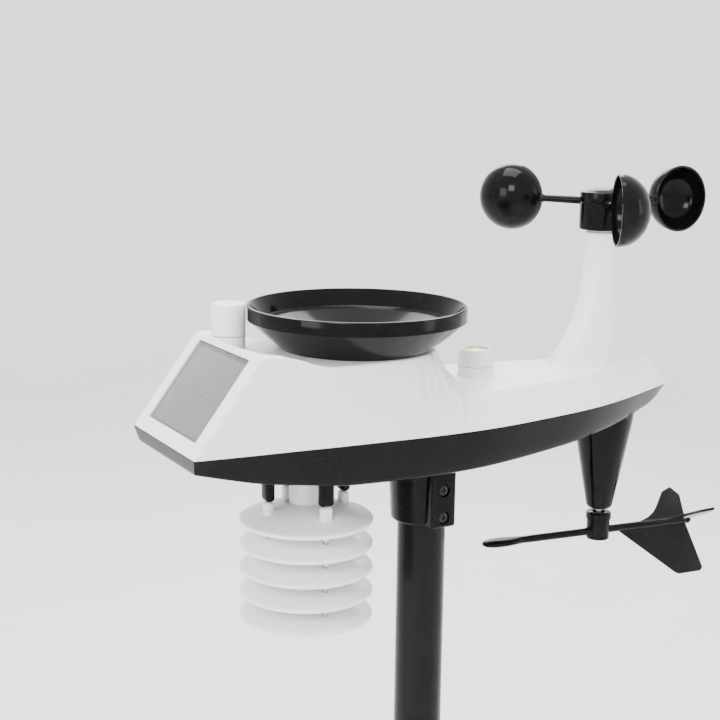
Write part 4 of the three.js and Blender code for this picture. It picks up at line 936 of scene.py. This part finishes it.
def swept(name, sections, sides=40):
    """Oval sections (x, half breadth, half height) joined along X."""
    verts, faces = [], []
    for x, breadth, height in sections:
        verts += [(x, breadth * math.cos(turn), height * math.sin(turn)) for turn in around(sides)]
    for k in range(len(sections) - 1):
        for i in range(sides):
            a, b = k * sides + i, k * sides + (i + 1) % sides
            faces.append((a, b, b + sides, a + sides))
    faces += [tuple(range(sides)), tuple(range(len(verts) - sides, len(verts)))]
    return mesh_object(name, verts, faces, 0)


def wind_vane():
    hub = turned("vane_hub", [(0, VANE_HUB_BOTTOM)]
                 + near(VANE_HUB_R, VANE_HUB_BOTTOM, (-0.8, 0), (-0.2, 0.3), (0, 0.9))
                 + near(VANE_HUB_R, VANE_HUB_TOP, (0, -4.6), (0.7, -4.2), (0.7, -0.8), (0.2, -0.2),
                        (-0.4, 0))
                 + near(0, VANE_HUB_TOP, (4.2, 0), (3.9, -1.6), (0, -1.6)), 128, lift=0)
    neck = -POINTER_TIP + 31
    root, stem = (2.6, 2.6), (VANE_ROD_R, VANE_ROD_R)
    widths = near(-POINTER_TIP, 0, (0, 0.9), (0.8, 2.6), (3, 4.1), (8, 5.2), (15, 5.5), (21, 4.5), (27, 2.7))
    widths += [(neck + 3, VANE_ROD_R)]
    heights = near(-POINTER_TIP, 0, (0, 0.6), (1.5, 1.6), (8, 2.5), (22, 2.3))
    heights += [(neck, 2.2), (neck + 3, VANE_ROD_R)]
    leaf = [(x, along(widths, x), along(heights, x)) for x in spread(36, -POINTER_TIP, neck + 3)]
    pointer = swept("pointer", leaf + [(-VANE_HUB_R - 3, *stem), (-VANE_HUB_R, *root), (0, *root)])
    ball = VANE_ROD_R + 0.45
    sections = [(0, *root), (VANE_HUB_R, *root), (VANE_HUB_R + 3, *stem), (VANE_TAIL - 2.2, *stem)]
    for a in spread(12, -0.6, math.pi / 2):
        r = max(ball * math.cos(a), 0.05)
        sections.append((VANE_TAIL + ball * math.sin(a), r, r))
    parts = [pointer, swept("tail", sections)]
    for name, outline, turn in (("fin_low", LARGE_FIN, 180), ("fin_left", SMALL_FIN, 90 - SMALL_FIN_RISE),
                                ("fin_right", SMALL_FIN, SMALL_FIN_RISE - 90)):
        fin = plate_y(name, outline, -FIN_THICK / 2, FIN_THICK / 2, 0)
        parts.append(moved(bevelled(fin, 0.45, 3), spun("X", turn)))
    combine(hub, [moved(part, at(0, 0, VANE_ROD_Z)) for part in parts])
    screw_z = VANE_HUB_BOTTOM + 3.2
    carve(hub, [rod("vane_shaft_hole", 2.15, VANE_HUB_BOTTOM + 5.7, 0, lift=0), bore(1.7, -20, -4, screw_z)])
    place = at(VANE_X, 0, SEAM) @ spun("Z", VANE_YAW)
    moved(hub, place)
    finished(hub, GLOSS, "vane", "black_shell", "wind_vane", angle=30)
    screw = rod("vane_grub_screw", 1.4, -2.6, 0, lift=0, edge=0.15)
    carve(screw, [rod("hex", 0.75, -1.3, 1, sides=6, lift=0)])
    moved(screw, place @ at(0, -VANE_HUB_R + 0.4, screw_z) @ spun("X", 90))
    return finished(screw, DARK_STEEL, "vane", "dark_steel", "vane_set_screw")


# ---------------------------------------------------------------- screws

def cross_screw(name, head, depth, shank, length, domed=0.4):
    """Pan-head screw with a cross recess, its head's crown at the origin and its shank down."""
    arc = [(head * math.sin(a), domed * (math.cos(a) - 1)) for a in spread(8, math.pi / 2, 0)]
    body = turned(name, [(0, -length), (shank, -length), (shank, -depth)]
                  + near(head, -depth, (-0.1, 0), (0, 0.1)) + arc, 64, lift=0)
    slot, half = head * 0.62, head * 0.13
    cuts = [bevelled(block("slot", (-slot, -half, -depth * 0.62), (slot, half, 1), 0), 0.02, 1)
            for _ in range(2)]
    moved(cuts[1], spun("Z", 90))
    return carve(body, cuts)


def driven_up(node, name, body, *sizes):
    """Steel screw driven straight up, in place of its CAD node."""
    low, high, centre = low_of(node), high_of(node), middle(node)
    screw = cross_screw(name, *sizes[:3], high.z - low.z, *sizes[3:])
    moved(screw, at(centre.x, centre.y, low.z) @ spun("X", 180))
    return finished(screw, STEEL, body, "steel", node)


def driven_in(node, name, height, material, slot, *sizes):
    """Screw driven in from the -Y side at a height, in place of its CAD node."""
    low, high = low_of(node), high_of(node)
    screw = cross_screw(name, *sizes, high.y - low.y, 0.7)
    moved(screw, at(0, low.y, height) @ spun("X", 90))
    return finished(screw, material, "station", slot, node)


# ---------------------------------------------------------------- radiation shield

def plate_top(radius):
    return PLATE_LOW + PLATE_RIM + PLATE_RISE * (PLATE_R - radius) / (PLATE_R - PLATE_INNER)


def shield_plate(number):
    drop = -(number - 1) * PLATE_PITCH
    last = number == PLATES
    edge = 0 if last else (8 if number == 1 else PLATE_INNER)
    inner_top = PLATE_LOW + PLATE_RIM + PLATE_RISE
    profile = [(edge, inner_top - PLATE_WALL), (PLATE_INNER, inner_top - PLATE_WALL)]
    profile += near(PLATE_R, PLATE_LOW, (-1.7, 0), (-0.8, 0.05), (-0.2, 0.5), (0, 1.1), (-0.15, 1.8),
                    (-0.7, 2.4), (-1.6, 2.75))
    profile += [(PLATE_INNER + 0.8, inner_top - 0.2), (PLATE_INNER, inner_top), (edge, inner_top)]
    body = turned(f"shield_disc_{number}", [(r, z + drop) for r, z in profile], 160, SHIELD_X)
    extras, holes = [], []
    for k in range(4):
        x, y = post_spot(k)
        if not last:
            extras.append(rod(f"spacer_{k}", 1.9, plate_top(POST_R - 3) - PLATE_PITCH + GAP + drop,
                              plate_top(POST_R + 3.4) - PLATE_WALL + 1.5 + drop, x, y, 32))
        if number == 1:
            extras.append(shield_post("stud", k, (2.4, 3.35), plate_top(POST_R + 3) - 1, -40 - GAP, 1.7))
        holes.append(rod(f"disc_hole_{k}", 1.4, -120, -30, x, y, 24))
    if number == 1:
        wide, roof = TUBE_R + 0.1, inner_top - 1
        holes.append(turned("tube_socket", [(1, roof), (wide, roof), (wide, 0), (1, 0)], 64, SHIELD_X))
    carve(combine(body, extras) if extras else body, holes)
    return finished(body, WHITE, "station", "white_shell", f"shield_plate_{number}", angle=35)


def shield_tube():
    low, high = low_of("shield_tube").z - SEAM, high_of("shield_tube").z - SEAM
    profile = [(TUBE_R - 1.5, low), (TUBE_R, low), (TUBE_R, high), (TUBE_R - 1.5, high)]
    tube = turned("sensor_tube", profile, 96, SHIELD_X)
    return finished(tube, WHITE, "station", "white_shell", "shield_tube")


def shield_screws():
    for k in range(1, 5):
        driven_up(f"shield_screw_{k}", f"shield_bolt_{k}", "station", 2.1, 1.5, 1.05)


# ---------------------------------------------------------------- mast fixings, mast and tripod

def socket_fixings():
    for k, z in enumerate(BOLT_HEIGHTS, 1):
        driven_in(f"socket_bolt_{k}", f"mast_bolt_{k}", SEAM + z, DARK_STEEL, "dark_steel", 3.1, 2.3, 1.95)
        low, high = low_of(f"socket_nut_{k}"), high_of(f"socket_nut_{k}")
        nut = bar(f"mast_nut_{k}", (0, low.y, SEAM + z), (0, high.y, SEAM + z), 4.0, sides=6, lift=0)
        carve(bevelled(nut, 0.3, 3), [bore(2.1, 0, 40, SEAM + z)])
        finished(nut, DARK_STEEL, "station", "dark_steel", f"socket_nut_{k}")


def reset_button():
    spot, low, high = middle("reset_button"), low_of("reset_button"), high_of("reset_button")
    arc = [(3 * math.sin(a), low.z + 0.5 * (1 - math.cos(a))) for a in spread(8, 0, math.pi / 2)]
    flange = near(0, low.z + 2.9, (3, 0), (4.4, 0), (4.4, 1), (3, 1))
    button = turned("reset_key", arc + flange + [(3, high.z), (0, high.z)], 64, spot.x, spot.y, 0)
    return finished(button, RUBBER, "button", "rubber", "reset_button")


def door_screw():
    return driven_up("battery_door_screw", "hatch_screw", "door", 2.95, 1.45, 1.45, 0.5)


def mast():
    inner, top = MAST_R - TUBE_WALL, high_of("mast_upper").z
    upper = near(inner, MAST_JOINT, (0, 0.3), (0.3, 0)) + near(MAST_R, MAST_JOINT, (-0.3, 0), (0, 0.3))
    tube = turned("mast_tube_upper", upper + [(MAST_R, top), (inner, top)], 128, lift=0)
    screw_z, hub_z = middle("mast_screw").z, middle("hub_screw").z
    carve(tube, [bore(2.3, -40, 40, SEAM + z) for z in BOLT_HEIGHTS] + [bore(1.6, -40, 0, screw_z)])
    finished(tube, TUBE, "station", "black_tube", "mast_upper")
    bottom, spigot, step = low_of("mast_lower").z, inner - GAP, MAST_JOINT - GAP
    lower = [(inner, bottom), (MAST_R, bottom)] + near(MAST_R, step, (0, -0.3), (-0.3, 0))
    lower += [(spigot, step), (spigot, MAST_JOINT + 45), (spigot - TUBE_WALL, MAST_JOINT + 45),
              (spigot - TUBE_WALL, MAST_JOINT - 4), (inner, MAST_JOINT - 8)]
    tube = turned("mast_tube_lower", lower, 128, lift=0)
    carve(tube, [bore(1.6, -40, 0, screw_z), bore(1.9, -40, 0, hub_z)])
    finished(tube, TUBE, "station", "black_tube", "mast_lower")
    driven_in("mast_screw", "joint_screw", screw_z, STEEL, "steel", 2.8, 1.8, 1.35)
    driven_in("hub_screw", "hub_clamp_screw", hub_z, STEEL, "steel", 3.6, 3, 1.7)


def grips(depth, count):
    """Shallow upright grooves in a rubber foot, between points 3 and 4 of its profile."""
    def radius_at(angle, k, radius):
        return radius - (depth if k in (3, 4) and math.sin(count * angle) > 0.3 else 0)

    return radius_at


def mast_foot():
    outer, top = high_of("mast_foot").x, high_of("mast_foot").z
    profile = [(0, 0)] + near(outer, 0, (-0.8, 0), (0, 0.8), (0, 4))
    profile += near(outer, top, (0, -4), (0, -1), (-0.3, -0.3), (-1, 0))
    profile += [(MAST_R + GAP, top), (MAST_R + GAP, 3), (0, 3)]
    sole = turned("mast_sole", profile, 288, lift=0, radius_at=grips(0.5, 24))
    return finished(sole, RUBBER, "station", "rubber", "mast_foot")


def tripod_hub():
    collar, inner = MAST_R + COLLAR, MAST_R + GAP
    profile = [(inner, HUB_LOW)] + near(collar, HUB_LOW, (-1, 0), (-0.3, 0.3), (0, 1))
    profile += near(collar, HUB_HIGH, (0, -1), (-0.3, -0.3), (-1, 0)) + [(inner, HUB_HIGH)]
    hub = turned("leg_collar", profile, 128, lift=0)
    arc = [(HINGE_REACH + LUG_R * math.cos(a), HUB_PIN_Z + LUG_R * math.sin(a))
           for a in spread(25, -math.pi / 2, math.pi / 2)]
    outline = [(MAST_R + 3, HUB_PIN_Z - LUG_R)] + arc + [(MAST_R + 3, HUB_PIN_Z + LUG_R)]
    lugs, holes = [], []
    for k in range(3):
        turn = spun("Z", FIRST_LEG + 120 * k)
        for start, end in ((-KNUCKLE_GAP - LUG_THICK, -KNUCKLE_GAP), (KNUCKLE_GAP, KNUCKLE_GAP + LUG_THICK)):
            lug = plate_y(f"lug_{k}", outline, start, end, 0)
            lugs.append(moved(bevelled(lug, 0.5, 3), turn))
        holes.append(moved(bore(3.15, -30, 30, HUB_PIN_Z, HINGE_REACH), turn))
    combine(hub, lugs)
    carve(hub, holes + [bore(2.2, -40, 0, middle("hub_screw").z),
                        rod("hub_bore", inner, 200, 500, sides=128, lift=0)])
    return finished(hub, MATT, "station", "black_plastic", "tripod_hub", angle=30)


def tripod_legs():
    run, fall = FOOT_REACH - HINGE_REACH, HUB_PIN_Z - FOOT_FLOOR - LEG_R
    lean, length = math.atan2(run, fall), math.hypot(run, fall)
    outer, top, inner = LEG_R + GAP + 2.6, -length + FOOT_CUP, LEG_R - TUBE_WALL
    heel = max((HINGE_REACH - MAST_R - COLLAR - GAP - LEG_R * math.cos(lean)) / math.sin(lean), 0)
    arc = [(LEG_R * math.cos(a), LEG_R * math.sin(a)) for a in spread(17, math.pi, 0)]
    outline = [(-LEG_R, -26), (-LEG_R, heel)] + [p for p in arc if p[1] > heel]
    outline += [(LEG_R, heel), (LEG_R, -26)]
    for k, body in enumerate(("rear_leg", "stern_leg", "front_leg")):
        hinge = spun("Z", FIRST_LEG + 120 * k) @ at(HINGE_REACH, 0, HUB_PIN_Z)
        swung = hinge @ Matrix.Rotation(-lean, 4, "Y")
        shank = bevelled(plate_y(f"leg_shank_{k + 1}", outline, -4.5, 4.5, 0), 0.5, 3)
        profile = [(inner, -length), (LEG_R, -length), (LEG_R, -20.4), (LEG_R - 0.4, -20), (0, -20),
                   (0, -34), (inner, -34)]
        tube = turned(f"leg_tube_{k + 1}", profile, 72, lift=0)
        combine(tube, [shank])
        carve(tube, [bore(3.12, -20, 20, 0)])
        finished(moved(tube, swung), TUBE, body, "black_tube", f"leg_{k + 1}")
        profile = [(0, -length - 20)] + near(outer, -length, (0, -20), (0, -19), (0, 7))
        profile += near(outer, top, (0, -6), (0, -2), (-0.4, -0.7), (-1.2, 0))
        profile += [(LEG_R + GAP, top), (LEG_R + GAP, -length - GAP), (0, -length - GAP)]
        cup = turned(f"leg_boot_{k + 1}", profile, 160, lift=0, radius_at=grips(0.45, 16))
        moved(cup, swung)
        carve(cup, [block("floor_cut", (-500, -500, -200), (500, 500, 0), 0)])
        finished(cup, RUBBER, body, "rubber", f"leg_foot_{k + 1}", angle=30)
        reach = KNUCKLE_GAP + LUG_THICK + 1.5
        pin = rod(f"hinge_pin_{k + 1}", 3, -reach, reach, lift=0, edge=0.5)
        moved(pin, hinge @ spun("X", 90))
        finished(pin, STEEL, "station", "steel", f"leg_pin_{k + 1}")


# ---------------------------------------------------------------- inside pieces that keep their CAD shape

def dress_inside():
    looks = {"antenna_whip": STEEL, "bucket_cradle": MATT, "bucket_pin": STEEL, "reed_switch": REED,
             "tipping_bucket": MATT, "rotor_shaft": STEEL, "rotor_bearing_upper": BRASS,
             "rotor_bearing_lower": BRASS, "vane_shaft": STEEL, "vane_bearing": BRASS, "sensor_board": BOARD,
             "circuit_board": BOARD, "battery_1": SLEEVE, "battery_2": SLEEVE, "battery_3": SLEEVE}
    for node, material in looks.items():
        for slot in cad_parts[node].material_slots:
            slot.material = material


# ---------------------------------------------------------------- camera, stage and light

def camera():
    data = bpy.data.cameras.new("camera")
    data.lens = 69.567
    data.sensor_width = 36
    data.clip_end = 30
    item = bpy.data.objects.new("camera", data)
    item.matrix_world = Matrix(((0.8722, 0.0856, -0.4816, -0.41361), (-0.4890, 0.1780, -0.8539, -0.65816),
                                (0.0126, 0.9803, 0.1971, 0.88525), (0, 0, 0, 1)))
    bpy.context.scene.collection.objects.link(item)
    bpy.context.scene.camera = item


def stage():
    """Round pale floor that curves up into a wall behind everything."""
    profile = [(0, 0)] + [(r, 0) for r in (400, 1200, 2400, 3200)]
    profile += [(3200 + 900 * math.sin(a), 900 * (1 - math.cos(a))) for a in spread(14, 0.1, math.pi / 2)]
    profile += [(4100, 4200)]
    verts, faces, sides = [], [], 96
    for turn in around(sides):
        verts += [(r * math.cos(turn) * MM, r * math.sin(turn) * MM, (z - 0.3) * MM) for r, z in profile]
    for i in range(sides):
        a, b = i * len(profile), (i + 1) % sides * len(profile)
        faces += [(a + k, b + k, b + k + 1, a + k + 1) for k in range(len(profile) - 1)]
    mesh = bpy.data.meshes.new("studio_floor")
    mesh.from_pydata(verts, [], faces)
    mesh.shade_smooth()
    floor = bpy.data.objects.new("studio_floor", mesh)
    bpy.context.scene.collection.objects.link(floor)
    look = Look("studio_paper", (0.9, 0.9, 0.9), 0.85)
    look.feed("Base Color", look.ramp(look.noise(3, 3), (NOISE_LOW, (0.88, 0.88, 0.88)),
                                      (NOISE_HIGH, (0.92, 0.92, 0.92))))
    mesh.materials.append(look.material)


def area(name, spot, aim, size, power, shape="RECTANGLE", size_y=None):
    data = bpy.data.lights.new(name, "AREA")
    data.shape = shape
    data.size = size
    data.size_y = size_y or size
    data.energy = power
    item = bpy.data.objects.new(name, data)
    item.location = spot
    item.rotation_euler = (Vector(aim) - Vector(spot)).to_track_quat("-Z", "Y").to_euler()
    bpy.context.scene.collection.objects.link(item)


def lights():
    world = bpy.data.worlds.new("studio")
    bpy.context.scene.world = world
    world.use_nodes = True
    background = world.node_tree.nodes["Background"]
    background.inputs["Color"].default_value = (1, 1, 1, 1)
    background.inputs["Strength"].default_value = 1.9
    head = (0, 0, 0.72)
    area("key", (-1.5, -1.3, 1.9), head, 0.7, 34)
    area("window", (-2.05, -0.5, 1.3), head, 0.8, 20, size_y=0.9)
    area("fill", (1.7, -1.5, 1.1), head, 0.5, 8, size_y=1.2)
    area("back", (1.0, 1.75, 1.9), head, 1.2, 30)
    area("top", (-0.1, 0.2, 2.5), head, 1.2, 50)


for build in (camera, stage, lights, upper_housing, solar_panel, antenna_cover, level_cap, level_vial,
              lower_housing, battery_door, rain_funnel, cup_wheel, wind_vane):
    build()
for number in range(1, PLATES + 1):
    shield_plate(number)
for build in (shield_tube, shield_screws, socket_fixings, reset_button, door_screw, mast, mast_foot,
              tripod_hub, tripod_legs, dress_inside):
    build()

bpy.context.view_layer.update()
